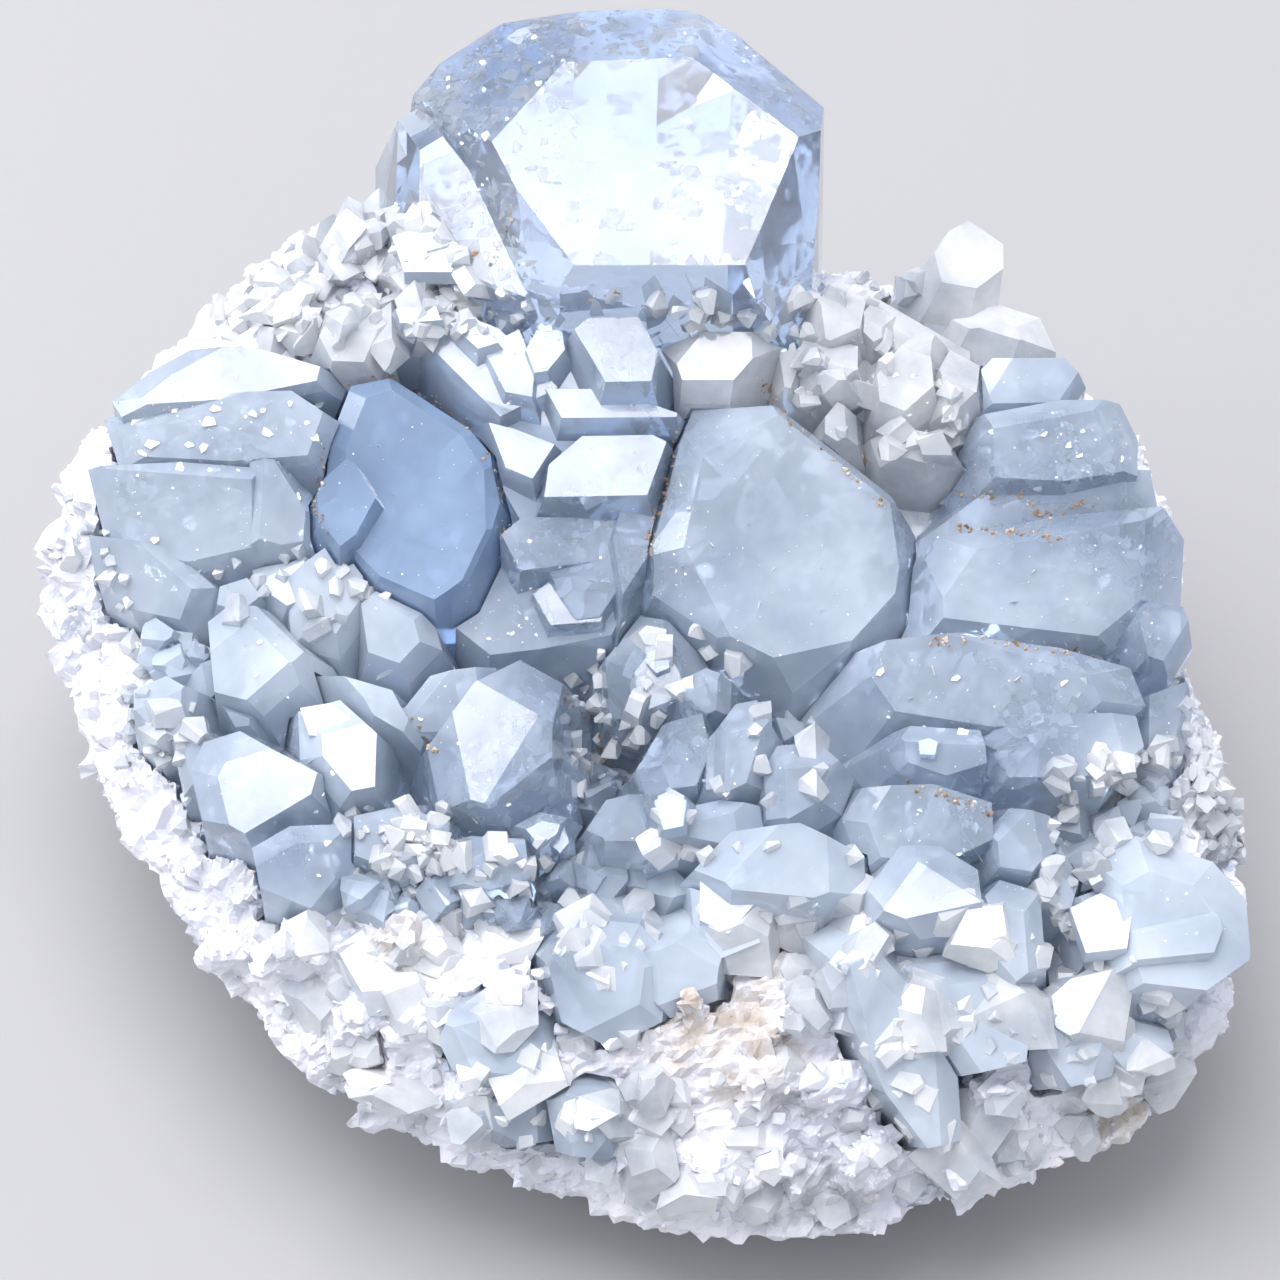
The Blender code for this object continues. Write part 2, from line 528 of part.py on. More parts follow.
GROUPS = {
    "left_block": LEFT_BLOCK, "clear_cluster": CLEAR_CLUSTER, "right_stack": RIGHT_STACK,
    "centre_low": CENTRE_LOW, "centre_left": CENTRE_LEFT, "left_small": LEFT_SMALL,
    "lower_left": LOWER_LEFT, "lower_right": LOWER_RIGHT, "corner_crystal": CORNER_CRYSTAL,
    "far_crystal": FAR_CRYSTAL, "ridge_crystals": RIDGE_CRYSTALS,
    "front_left_block": FRONT_LEFT_BLOCK, "front_middle_block": FRONT_MIDDLE_BLOCK,
    "front_blade": FRONT_BLADE, "front_right_block": FRONT_RIGHT_BLOCK,
}


# The way the groups near the rim point: outward from the middle
RIM_GROWTH = {
    "left_block": (-0.28, -0.22, 0.95), "right_stack": (0.30, -0.25, 0.95),
    "corner_crystal": (0.50, -0.40, 0.90), "far_crystal": (0.30, 0.10, 0.95),
    "lower_left": (-0.20, -0.32, 0.95), "lower_right": (0.14, -0.34, 0.95),
    "front_left_block": (-0.20, -0.75, 0.65), "front_middle_block": (0.0, -0.70, 0.70),
    "front_blade": (0.15, -0.75, 0.65), "front_right_block": (0.40, -0.68, 0.65),
}


def some_sides(count, dice):
    """Which sides of a crystal end in a sloping face: a run of them, or every second one."""
    start = dice.randrange(count)
    step = dice.choice((1, 2))
    chosen = round(count * dice.uniform(*SLOPED_SHARE))
    return {(start + k * step) % count for k in range(max(2, chosen))}


def group_planes(name, rows):
    """The crystals of a group, from its rows."""
    axis = Vector(RIM_GROWTH.get(name, GROWTH)).normalized()
    dice = random.Random(name)
    return [gem(outline, proud, lean, lift, face=face * SLOPE_REACH, axis=axis,
                sloped=some_sides(len(outline), dice))
            for outline, proud, lean, lift, face in rows]


def new_object(name, mesh, collection, material=None):
    """An object from a bmesh, which it frees."""
    data = bpy.data.meshes.new(name)
    mesh.to_mesh(data)
    mesh.free()
    item = bpy.data.objects.new(name, data)
    collection.objects.link(item)
    if material:
        data.materials.append(material)
    return item


def boolean(item, other, kind):
    """Join another object to an object, or cut it away, at once."""
    modifier = item.modifiers.new(kind, "BOOLEAN")
    modifier.operation = kind
    modifier.solver = "EXACT"
    modifier.use_self = False
    modifier.object = other
    graph = bpy.context.evaluated_depsgraph_get()
    result = bpy.data.meshes.new_from_object(item.evaluated_get(graph))
    item.modifiers.clear()
    old = item.data
    item.data = result
    bpy.data.meshes.remove(old)
    in_triangles(item)


def in_triangles(item):
    """Split an object's faces into triangles, flat faces joined first."""
    mesh = bmesh.new()
    mesh.from_mesh(item.data)
    bmesh.ops.remove_doubles(mesh, verts=mesh.verts[:], dist=2e-6)
    bmesh.ops.dissolve_degenerate(mesh, edges=mesh.edges[:], dist=2e-6)
    bmesh.ops.dissolve_limit(mesh, angle_limit=FLAT_ANGLE, verts=mesh.verts[:], edges=mesh.edges[:])
    bmesh.ops.triangulate(mesh, faces=mesh.faces[:])
    mesh.to_mesh(item.data)
    mesh.free()


def joined(name, plane_lists, collection):
    """One object of all the crystals in a list, by union."""
    whole = new_object(name, solid(plane_lists[0]), collection)
    for planes in plane_lists[1:]:
        combine(whole, planes, 0.0, "UNION", collection)
    return whole


def volume_of(item):
    """Volume inside an object's mesh, or None where the mesh isn't closed."""
    mesh = bmesh.new()
    mesh.from_mesh(item.data)
    closed = len(mesh.faces) > 0 and all(edge.is_manifold for edge in mesh.edges)
    volume = mesh.calc_volume() if closed else None
    mesh.free()
    return volume


def tree_of(item):
    """A search tree over an object's faces."""
    mesh = bmesh.new()
    mesh.from_mesh(item.data)
    tree = BVHTree.FromBMesh(mesh)
    mesh.free()
    return tree


def combine(item, planes, grow, kind, collection):
    """Join a crystal to an object or cut it away, grown a hair more until the result is sound."""
    before = item.data.copy()
    volume = volume_of(item)
    crystal = new_object("crystal", solid(planes), collection)
    crystal_tree = tree_of(crystal)
    for try_number in range(TRIES):
        wider = grow + try_number ** TRY_GROWTH * HAIR
        tool = new_object("tool", solid(planes, wider), collection)
        if not boxes_meet(item, tool):
            bpy.data.objects.remove(tool)
            break
        least = max(volume, volume_of(tool)) if kind == "UNION" else volume - volume_of(tool)
        boolean(item, tool, kind)
        bpy.data.objects.remove(tool)
        result = volume_of(item)
        sound = result and result > SOUND_SHARE * least
        if sound and (kind == "UNION" or not crystal_tree.overlap(tree_of(item))):
            break
        item.data = before.copy()
    bpy.data.objects.remove(crystal)
    bpy.data.meshes.remove(before)


def box_of(item):
    """Lowest and highest corners of an object's mesh."""
    points = [v.co for v in item.data.vertices]
    low = Vector([min(p[i] for p in points) for i in range(3)])
    high = Vector([max(p[i] for p in points) for i in range(3)])
    return low, high


def boxes_meet(first, second):
    """Whether two objects' boxes overlap."""
    low_a, high_a = box_of(first)
    low_b, high_b = box_of(second)
    return all(low_a[i] < high_b[i] and low_b[i] < high_a[i] for i in range(3))


def keep_largest(item):
    """Drop the specks that cutting leaves beside the main body."""
    mesh = bmesh.new()
    mesh.from_mesh(item.data)
    waiting = set(mesh.verts)
    bodies = []
    while waiting:
        stack = [waiting.pop()]
        body = set(stack)
        while stack:
            for edge in stack.pop().link_edges:
                for vert in edge.verts:
                    if vert in waiting:
                        waiting.remove(vert)
                        body.add(vert)
                        stack.append(vert)
        bodies.append(body)
    bodies.sort(key=body_size, reverse=True)
    for body in bodies[1:]:
        bmesh.ops.delete(mesh, geom=list(body), context="VERTS")
    mesh.to_mesh(item.data)
    mesh.free()


def body_size(body):
    """Diagonal of the box round some vertices."""
    low = [min(v.co[i] for v in body) for i in range(3)]
    high = [max(v.co[i] for v in body) for i in range(3)]
    return math.dist(low, high)


TOP_SPREAD = 0.75               # how the rings crowd towards the rim, above and below it
BOTTOM_SPREAD = 0.9
ROUGH_SCALE = 110.0             # lumps of the broken texture in a metre
ROUGH_SHARE = 0.8               # each finer layer's height beside the one before
ROUGH_STEP = 2.1                # each finer layer's scale beside the one before
ROUGH_LAYERS = 4
RIM_SHARE = 0.999               # rings beyond this lie on the rim itself
BARE_SHARE = 0.9                # the top is rough inside this share of the radius
SMOOTH_FOOT = 2.0 * MM          # the resting spot is smooth up to this height


def matrix_body(collection):
    """The rounded matrix: a sphere reshaped to its belly, its top and its flat resting spot."""
    mesh = bmesh.new()
    bmesh.ops.create_uvsphere(mesh, u_segments=RING_POINTS, v_segments=RINGS, radius=1.0)
    for vert in mesh.verts:
        turn = math.atan2(vert.co.y, vert.co.x)
        tip = math.acos(max(-1.0, min(1.0, abs(vert.co.z)))) / (math.pi / 2)
        above = vert.co.z > -1e-4
        share = tip ** (TOP_SPREAD if above else BOTTOM_SPREAD)
        edge = BELLY_TURN[int(round(turn / (2 * math.pi) * RING_POINTS)) % RING_POINTS]
        spot = MIDDLE.lerp(Vector((edge.x, edge.y, 0.0)), share)
        if above:
            spot.z = surface_height(spot.x, spot.y) if share < RIM_SHARE else edge.z
        else:
            round_share = max(0.0, (share - FLAT_SHARE) / (1 - FLAT_SHARE))
            spot.z = edge.z * (1 - math.sqrt(max(0.0, 1 - round_share ** 2)))
        rough = ROUGHNESS * noise.fractal(spot * ROUGH_SCALE, ROUGH_SHARE, ROUGH_STEP, ROUGH_LAYERS)
        out = Vector((edge.x - MIDDLE.x, edge.y - MIDDLE.y, 0.0)).normalized()
        if above and share < BARE_SHARE:
            spot.z += rough
        elif spot.z > SMOOTH_FOOT:
            spot += out * (rough - 0.3 * ROUGHNESS)
        vert.co = spot
    bmesh.ops.triangulate(mesh, faces=mesh.faces[:])
    bmesh.ops.recalc_face_normals(mesh, faces=mesh.faces[:])
    return new_object("matrix", mesh, collection)


# Small crystals on the bare matrix, in drawn points unless they say otherwise: the boxes
# (left, right, top, bottom) that carry them, the grid's corners, and the spans of each draw
DRUSE_BOXES = [(0, 1280, 930, 1280), (1180, 1280, 700, 930), (0, 480, 0, 345),
               (820, 1280, 0, 300), (0, 115, 380, 640), (0, 140, 640, 760), (0, 230, 760, 930)]
DRUSE_GRID = ((40.0, 170.0), (1250.0, 1230.0))
DRUSE_ROW = 0.87                # between rows, beside the spacing in a row
DRUSE_JITTER = (14, 12)
DRUSE_RADIUS = (26, 52)
DRUSE_STRETCH = (0.65, 1.0)     # height of an outline beside its width
DRUSE_LEAN = ((-0.45, 0.45), (-0.2, 0.5))
DRUSE_PROUD = (1.4, 3.6)        # millimetres
DRUSE_FACE = (0.25, 0.7)
DRUSE_LIFT = 1.6                # millimetres
DRUSE_ROOT = 2.5 * MM
DRUSE_EDGE = 0.7                # distance kept from the matrix's rim, beside the radius
BACK_DRAWN = [(1018, 312), (985, 262), (870, 262), (800, 250), (600, 240), (400, 190),
              (318, 200), (240, 250), (196, 300), (104, 380), (55, 450)]


def in_druse(x, y):
    """Whether the matrix carries small crystals at a drawn point."""
    return any(left <= x <= right and top <= y <= bottom
               for left, right, top, bottom in DRUSE_BOXES)


def inside_belly(x, y, margin):
    """Whether a drawn point lies on the matrix, with a margin in drawn points."""
    outline = [(p[0], p[1]) for p in BELLY_DRAWN] + BACK_DRAWN
    inside = False
    near = margin
    for (x0, y0), (x1, y1) in zip(outline, outline[1:] + outline[:1]):
        if (y0 > y) != (y1 > y) and x < x0 + (y - y0) / (y1 - y0) * (x1 - x0):
            inside = not inside
        along = ((x - x0) * (x1 - x0) + (y - y0) * (y1 - y0)) / ((x1 - x0) ** 2 + (y1 - y0) ** 2)
        along = max(0.0, min(1.0, along))
        near = min(near, math.hypot(x - x0 - along * (x1 - x0), y - y0 - along * (y1 - y0)))
    return inside and near >= margin


def druse():
    """The small crystals grown on the matrix, on a loose grid."""
    dice = random.Random(11)
    crystals = []
    (left, top), (right, bottom) = DRUSE_GRID
    rows = int((bottom - top) / (DRUSE_SPACING * DRUSE_ROW)) + 1
    for row in range(rows):
        x = left + (row % 2) * DRUSE_SPACING / 2
        y = top + row * DRUSE_SPACING * DRUSE_ROW
        while x < right:
            place = (x + dice.uniform(-1, 1) * DRUSE_JITTER[0],
                     y + dice.uniform(-1, 1) * DRUSE_JITTER[1])
            radius = dice.uniform(*DRUSE_RADIUS)
            sides = dice.choice((4, 5))
            start = dice.uniform(0, math.pi)
            lean = (dice.uniform(*DRUSE_LEAN[0]), dice.uniform(*DRUSE_LEAN[1]))
            proud = dice.uniform(*DRUSE_PROUD)
            size = dice.uniform(*DRUSE_FACE)
            height = radius * dice.uniform(*DRUSE_STRETCH)
            if in_druse(*place) and inside_belly(*place, radius * DRUSE_EDGE):
                turns = [start + 2 * math.pi * k / sides for k in range(sides)]
                outline = [(place[0] + radius * math.cos(turn), place[1] + height * math.sin(turn))
                           for turn in turns]
                crystals.append(gem(outline, proud, lean, DRUSE_LIFT, face=size, root=DRUSE_ROOT))
            x += DRUSE_SPACING
    return crystals


# Base colour, roughness and share of light let through, for each material
FINISHES = {
    "clear_celestite": ((0.72, 0.84, 0.93), 0.06, 0.85),
    "milky_celestite": ((0.66, 0.79, 0.90), 0.15, 0.65),
    "blue_celestite": ((0.34, 0.50, 0.70), 0.08, 0.75),
    "matrix_crust": ((0.80, 0.80, 0.83), 0.65, 0.0),
}
NODE_FINISH = {
    "great_crystal": "clear_celestite", "clear_cluster": "clear_celestite",
    "far_crystal": "clear_celestite", "ridge_crystals": "clear_celestite",
    "blue_crystal": "blue_celestite", "matrix": "matrix_crust",
}


def material(name):
    """The material of a finish, with its colour, roughness and clearness."""
    made = bpy.data.materials.get(name)
    if made:
        return made
    colour, roughness, clearness = FINISHES[name]
    made = bpy.data.materials.new(name)
    made.use_nodes = True
    shader = made.node_tree.nodes["Principled BSDF"]
    shader.inputs["Base Color"].default_value = (*colour, 1.0)
    shader.inputs["Roughness"].default_value = roughness
    shader.inputs["Metallic"].default_value = 0.0
    shader.inputs["Transmission Weight"].default_value = clearness
    shader.inputs["IOR"].default_value = 1.62
    made.diffuse_color = (*colour, 1.0)
    return made


def build():
    """Make the cluster's objects and set them with the origin under the middle."""
    parts = bpy.data.collections.new("celestite_cluster")
    bpy.context.scene.collection.children.link(parts)
    crystals = {
        "great_crystal": great_crystal(), "round_crystal": round_crystal(),
        "blue_crystal": blue_crystal(), "stepped_crystal": stepped_crystal(),
    }
    crystals.update({name: group_planes(name, rows) for name, rows in GROUPS.items()})
    items = []
    higher = []
    for name, planes in crystals.items():
        item = joined(name, planes, parts)
        for other in higher:
            combine(item, other, GAP, "DIFFERENCE", parts)
        keep_largest(item)
        items.append(item)
        higher += planes
    matrix = matrix_body(parts)
    for planes in druse():
        combine(matrix, planes, 0.0, "UNION", parts)
    for planes in higher:
        combine(matrix, planes, GAP, "DIFFERENCE", parts)
    keep_largest(matrix)
    items.append(matrix)
    lows, highs = zip(*(box_of(item) for item in items))
    low = Vector([min(p[i] for p in lows) for i in range(3)])
    high = Vector([max(p[i] for p in highs) for i in range(3)])
    frame = bpy.data.objects.new("celestite_frame", None)
    parts.objects.link(frame)
    frame.location = (-(low.x + high.x) / 2, -(low.y + high.y) / 2, -low.z)
    for item in items:
        item.parent = frame
        item.data.materials.clear()
        item.data.materials.append(material(NODE_FINISH.get(item.name, "milky_celestite")))


build()
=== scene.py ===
"""Looks of the celestite cluster: see-through crystals, sugary matrix, soft studio light."""
import math
import random

import bmesh
import bpy
import numpy as np
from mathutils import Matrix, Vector, noise
from mathutils.bvhtree import BVHTree


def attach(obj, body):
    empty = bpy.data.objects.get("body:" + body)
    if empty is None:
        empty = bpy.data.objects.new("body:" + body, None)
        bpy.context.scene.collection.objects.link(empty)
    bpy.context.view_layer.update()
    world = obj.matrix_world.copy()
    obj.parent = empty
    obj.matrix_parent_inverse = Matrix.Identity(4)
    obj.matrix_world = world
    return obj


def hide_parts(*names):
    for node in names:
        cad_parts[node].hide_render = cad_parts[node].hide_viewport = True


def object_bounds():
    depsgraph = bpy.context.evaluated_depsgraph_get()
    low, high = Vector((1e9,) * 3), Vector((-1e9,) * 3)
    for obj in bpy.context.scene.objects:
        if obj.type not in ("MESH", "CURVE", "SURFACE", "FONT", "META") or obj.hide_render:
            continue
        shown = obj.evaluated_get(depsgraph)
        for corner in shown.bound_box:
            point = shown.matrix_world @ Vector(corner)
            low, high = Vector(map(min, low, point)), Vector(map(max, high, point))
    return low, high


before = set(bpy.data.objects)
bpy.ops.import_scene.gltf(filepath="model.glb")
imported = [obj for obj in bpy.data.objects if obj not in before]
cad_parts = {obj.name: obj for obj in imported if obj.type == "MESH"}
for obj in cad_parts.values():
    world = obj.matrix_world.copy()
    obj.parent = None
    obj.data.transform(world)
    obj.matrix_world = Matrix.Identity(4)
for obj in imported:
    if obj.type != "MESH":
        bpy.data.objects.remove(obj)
cad_low, cad_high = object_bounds()

SCENE = bpy.context.scene
MM = 0.001

# The viewing place, from the photograph
VIEW_ELEVATION = math.radians(50.0)
VIEW_DISTANCE = 0.46
VIEW_TARGET = Vector((1.17, 0.59, 36.0)) * MM
CLUSTER_WIDTH = 130.0 * MM
CLUSTER_POINTS = 1222.0         # the cluster's width in the photograph, of 1280 points
FRAME_POINTS = 1280.0
POINT_SIZE = CLUSTER_WIDTH / CLUSTER_POINTS
BACKWARDS = Vector((0, -math.cos(VIEW_ELEVATION), math.sin(VIEW_ELEVATION)))
UPWARDS = Vector((0, math.sin(VIEW_ELEVATION), math.cos(VIEW_ELEVATION)))
EYE = VIEW_TARGET + BACKWARDS * VIEW_DISTANCE
SENSOR_WIDTH = 36.0             # millimetres
CLIP_START = 10 * MM

# The overhead lamp, from the middle of the cluster, and the way a face looks that mirrors it
LAMP_WAY = Vector((-0.12, 0.07, 0.80))
GLARE = (BACKWARDS + LAMP_WAY.normalized()).normalized()

# Lamps: name, way from the middle of the cluster, size in metres, power in watts, colour
MIDDLE = Vector((0.0, 0.0, 0.05))
LAMPS = [
    ("overhead", LAMP_WAY, (0.66, 0.56), 7.2, (1.0, 0.965, 0.99)),
    ("left_window", Vector((-0.80, 0.10, 0.42)), (0.5, 0.5), 3.2, (0.96, 0.98, 1.0)),
]
ROOM_COLOUR = (0.89, 0.92, 1.0)
ROOM_STRENGTH = 1.03
FLOOR_COLOUR = (0.38, 0.38, 0.38)
FLOOR_ROUGHNESS = 0.9
FLOOR_HALF_WIDTH = 3.0
FLOOR_DROP = 0.2 * MM

# The CAD meshes: corners this close are one, and faces this level with each other are one
WELD = 0.002 * MM
FLAT_ANGLE = math.radians(0.3)

# Celestite, and the span of noise over which it turns from clear to milky
CELESTITE_IOR = 1.62
CLOUD_LOW, CLOUD_HIGH = 0.32, 0.68

# Scales of the patterns in the materials, in waves a metre
STAIN_WAVES = 330.0
CRUST_WAVES = 60.0
GRAIN_WAVES = 1400.0
SUGAR_CELLS = 620.0
DIRT_WAVES = 900.0

STAIN_STRENGTH = 1.5
BUMP_STRENGTH = 0.5
BUMP_HEIGHT = 0.3 * MM

# The crust's broken facets: the size of a cell, the height of its relief and a seed
CRUST_VOXEL = 0.8 * MM
CRUST_FOOT = 0.6 * MM           # below this height the resting spot stays smooth
CRUST_CELLS = [(4.2 * MM, 1.5 * MM, 1), (1.9 * MM, 0.7 * MM, 2)]
CRUST_SUNK = 0.3 * MM
CELL_TILT = 1.6
CELL_MIDDLE = Vector((0.5, 0.5, 0.5))

# Where sugar grows on the crust
SUGAR_POINTS = 19000
SUGAR_LOWEST = 4 * MM
SUGAR_OVERHANG = -0.35          # the least upward share of the surface's direction
SUGAR_PATCHES = 130.0           # waves a metre of the noise that parts bare crust from sugar
SUGAR_BARE = -0.12              # the noise below which the crust is bare

# The small forms that growth is made of, each about one unit in radius
FORM_COUNT = 14
FORM_WELD = 0.02                # corners this close are one
FORM_PARALLEL = 1e-3            # three planes with a smaller determinant meet in no corner
FORM_TOLERANCE = 1e-6           # how far outside a plane a corner may lie

# Crystal points: how many sides and end faces, and the span of each face's lean and distance
POINT_SIDES = (4, 5, 6)
POINT_ENDS = (2, 2, 3)
SIDE_LEAN, SIDE_REACH = (0.0, 0.08), (0.60, 0.90)
END_LEAN, END_REACH = (0.65, 1.05), (0.62, 0.90)
TIP_LEAN, TIP_REACH = (1.25, 1.55), 0.98

# Lumps: how many faces, the turn from one to the next, and the span of their distance
LUMP_FACES = (10, 11, 12)
LUMP_TURN = 2.4
LUMP_REACH = (0.55, 0.90)

# Flakes: half their depth, how many sides, and the span of the sides' distance
FLAKE_COUNT = 10
FLAKE_HALF_DEPTH = 0.10
FLAKE_SIDES = 5
FLAKE_REACH = (0.4, 1.0)
FLAKE_PROUD = 0.12 * MM         # the most that a flake inside a crystal passes its face
MIRROR_PROUD = 0.03             # how far a flake that mirrors the lamp is over the face, in mm
MIRROR_SIZE = 0.4               # and its size, as a share of the others'

NEAR_ENOUGH = 0.05 * MM         # surfaces this close are taken for the same one

# Small faces that mirror the lamp: how far the foot goes in, in mm, and its width as a share
BRIGHT_ROOT = 1.5
BRIGHT_SPREAD = 1.1


def new_object(name, data):
    """An object of some data, in the scene."""
    made = bpy.data.objects.new(name, data)
    SCENE.collection.objects.link(made)
    return made


def new_camera():
    """The camera at the photograph's place, with its long lens."""
    data = bpy.data.cameras.new("camera")
    camera = new_object("camera", data)
    camera.location = EYE
    camera.rotation_euler = (-BACKWARDS).to_track_quat("-Z", "Y").to_euler()
    data.sensor_width = SENSOR_WIDTH
    data.lens = data.sensor_width * VIEW_DISTANCE / POINT_SIZE / FRAME_POINTS
    data.clip_start = CLIP_START
    SCENE.camera = camera


def area_light(name, way, size, power, colour):
    """A soft rectangular lamp that faces the middle of the cluster."""
    data = bpy.data.lights.new(name, "AREA")
    data.shape = "RECTANGLE"
    data.size, data.size_y = size
    data.energy = power
    data.color = colour
    lamp = new_object(name, data)
    lamp.location = MIDDLE + way
    lamp.rotation_euler = (MIDDLE - lamp.location).to_track_quat("-Z", "Y").to_euler()


def studio():
    """Plain pale floor, soft lamps and a pale room."""
    world = bpy.data.worlds.new("room")
    SCENE.world = world
    world.use_nodes = True
    background = world.node_tree.nodes["Background"]
    background.inputs["Color"].default_value = (*ROOM_COLOUR, 1.0)
    background.inputs["Strength"].default_value = ROOM_STRENGTH
    for lamp in LAMPS:
        area_light(*lamp)
    mesh = bmesh.new()
    bmesh.ops.create_grid(mesh, x_segments=1, y_segments=1, size=FLOOR_HALF_WIDTH)
    data = bpy.data.meshes.new("floor")
    mesh.to_mesh(data)
    mesh.free()
    floor = new_object("floor", data)
    floor.location.z = -FLOOR_DROP
    nodes = Nodes("floor")
    nodes.shader.inputs["Base Color"].default_value = (*FLOOR_COLOUR, 1.0)
    nodes.shader.inputs["Roughness"].default_value = FLOOR_ROUGHNESS
    data.materials.append(nodes.material)


def cad_tree():
    """A search tree over every node of the cluster."""
    verts, faces = [], []
    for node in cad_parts.values():
        start = len(verts)
        verts.extend(v.co.copy() for v in node.data.vertices)
        faces.extend([start + i for i in f.vertices] for f in node.data.polygons)
    return BVHTree.FromPolygons(verts, faces)


def cad_mesh(name):
    """A node's own mesh, welded, as a bmesh."""
    mesh = bmesh.new()
    mesh.from_mesh(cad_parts[name].data)
    bmesh.ops.remove_doubles(mesh, verts=mesh.verts[:], dist=WELD)
    return mesh


def matrix_tree():
    """A search tree over the matrix alone."""
    mesh = cad_mesh("matrix")
    tree = BVHTree.FromBMesh(mesh)
    mesh.free()
    return tree


CLUSTER_TREE = cad_tree()
MATRIX_TREE = matrix_tree()


def view_ray(x, y):
    """The way from the viewing place through a point of the photograph."""
    half = FRAME_POINTS / 2
    across = Vector((x - half, 0, 0)) + UPWARDS * (half - y)
    return (across * POINT_SIZE - BACKWARDS * VIEW_DISTANCE).normalized()


def seen_at(x, y):
    """The place and outward direction of the surface at a point of the photograph."""
    place, normal, _, _ = CLUSTER_TREE.ray_cast(EYE, view_ray(x, y))
    return place, normal


class Nodes:
    """A small helper that builds a node material step by step."""

    def __init__(self, name):
        self.material = bpy.data.materials.new(name)
        self.material.use_nodes = True
        self.tree = self.material.node_tree
        self.shader = self.tree.nodes["Principled BSDF"]
        self.output = self.tree.nodes["Material Output"]

    def add(self, kind, **settings):
        """A node with some of its inputs or properties set."""
        node = self.tree.nodes.new(kind)
        for key, value in settings.items():
            if key in node.inputs:
                node.inputs[key].default_value = value
            else:
                setattr(node, key, value)
        return node

    def link(self, source, target):
        """Join an output socket to an input socket."""
        self.tree.links.new(source, target)

    def place(self):
        """Object coordinates, in metres."""
        return self.add("ShaderNodeTexCoord").outputs["Object"]

    def noise(self, scale, detail, roughness):
        """Fractal noise of a scale, in waves a metre."""
        node = self.add("ShaderNodeTexNoise", Scale=scale, Detail=detail, Roughness=roughness)
        self.link(self.place(), node.inputs["Vector"])
        return node.outputs["Fac"]

    def ramp(self, source, stops):
        """A colour ramp over a value: stops of (place, colour)."""
        node = self.add("ShaderNodeValToRGB")
        elements = node.color_ramp.elements
        while len(elements) < len(stops):
            elements.new(0.5)
        for element, (place, colour) in zip(elements, stops):
            element.position = place
            element.color = (*colour, 1.0)
        self.link(source, node.inputs["Fac"])
        return node.outputs["Color"]

    def span(self, source, low, high, to_low, to_high):
        """A value moved from one span to another."""
        node = self.add("ShaderNodeMapRange")
        node.inputs["From Min"].default_value = low
        node.inputs["From Max"].default_value = high
        node.inputs["To Min"].default_value = to_low
        node.inputs["To Max"].default_value = to_high
        self.link(source, node.inputs["Value"])
        return node.outputs["Result"]

    def bump(self, height, strength, distance):
        """Bump from a height, joined to the shader."""
        node = self.add("ShaderNodeBump", Strength=strength, Distance=distance)
        self.link(height, node.inputs["Height"])
        self.link(node.outputs["Normal"], self.shader.inputs["Normal"])


def crystal_material(name, tint, pale, absorption, density, clear, milk_scale):
    """See-through celestite: plain transmission and absorption, with milky clouds."""
    nodes = Nodes(name)
    shader = nodes.shader
    shader.inputs["IOR"].default_value = CELESTITE_IOR
    shader.inputs["Roughness"].default_value = 0.0
    cloud = nodes.noise(milk_scale, 5.0, 0.55)
    low, high = clear
    share = nodes.span(cloud, CLOUD_LOW, CLOUD_HIGH, high, low)
    nodes.link(share, shader.inputs["Transmission Weight"])
    colour = nodes.ramp(cloud, [(CLOUD_LOW, tint), (CLOUD_HIGH, pale)])
    nodes.link(colour, shader.inputs["Base Color"])
    volume = nodes.add("ShaderNodeVolumeAbsorption", Color=(*absorption, 1.0), Density=density)
    nodes.link(volume.outputs["Volume"], nodes.output.inputs["Volume"])
    return nodes.material


# Beige and grey stains, and at (590, 740) a beige patch that is partly a stain and partly painted
# shade in a recess between crystals: a point of the photograph, the radius in mm, the patch's
# colour
BEIGE = (0.50, 0.44, 0.38)
GREY = (0.34, 0.36, 0.39)
# The beige patch at (590, 740) darkens a recess: partly a stain, partly painted shade.
STAINS_AND_SHADE = [(700, 985, 13.0, BEIGE), (740, 1040, 9.0, BEIGE), (590, 740, 5.0, BEIGE),
          (58, 480, 8.0, BEIGE), (985, 325, 6.0, BEIGE), (1140, 1110, 9.0, BEIGE),
          (410, 950, 6.0, BEIGE), (455, 1035, 3.0, GREY), (795, 1110, 4.0, GREY),
          (880, 925, 4.0, GREY), (820, 1200, 8.0, GREY), (350, 1090, 5.0, GREY)]


def stained_and_shaded(nodes, colour):
    """A colour with the stains and the painted shade of the recess laid over it, patchy towards
    their edges.
    """
    rough = nodes.noise(STAIN_WAVES, 4.0, 0.65)
    for x, y, radius, shade in STAINS_AND_SHADE:
        spot = seen_at(x, y)[0]
        if spot is None:
            continue
        away = nodes.add("ShaderNodeVectorMath", operation="DISTANCE")
        nodes.link(nodes.place(), away.inputs[0])
        away.inputs[1].default_value = spot
        near = nodes.span(away.outputs["Value"], 0.0, radius * MM, STAIN_STRENGTH, 0.0)
        share = nodes.add("ShaderNodeMath", operation="MULTIPLY")
        nodes.link(near, share.inputs[0])
        nodes.link(nodes.span(rough, 0.35, 0.62, 0.0, 1.0), share.inputs[1])
        mix = nodes.add("ShaderNodeMix", data_type="RGBA")
        nodes.link(share.outputs["Value"], mix.inputs["Factor"])
        nodes.link(colour, mix.inputs["A"])
        mix.inputs["B"].default_value = (*shade, 1.0)
        colour = mix.outputs["Result"]
    return colour


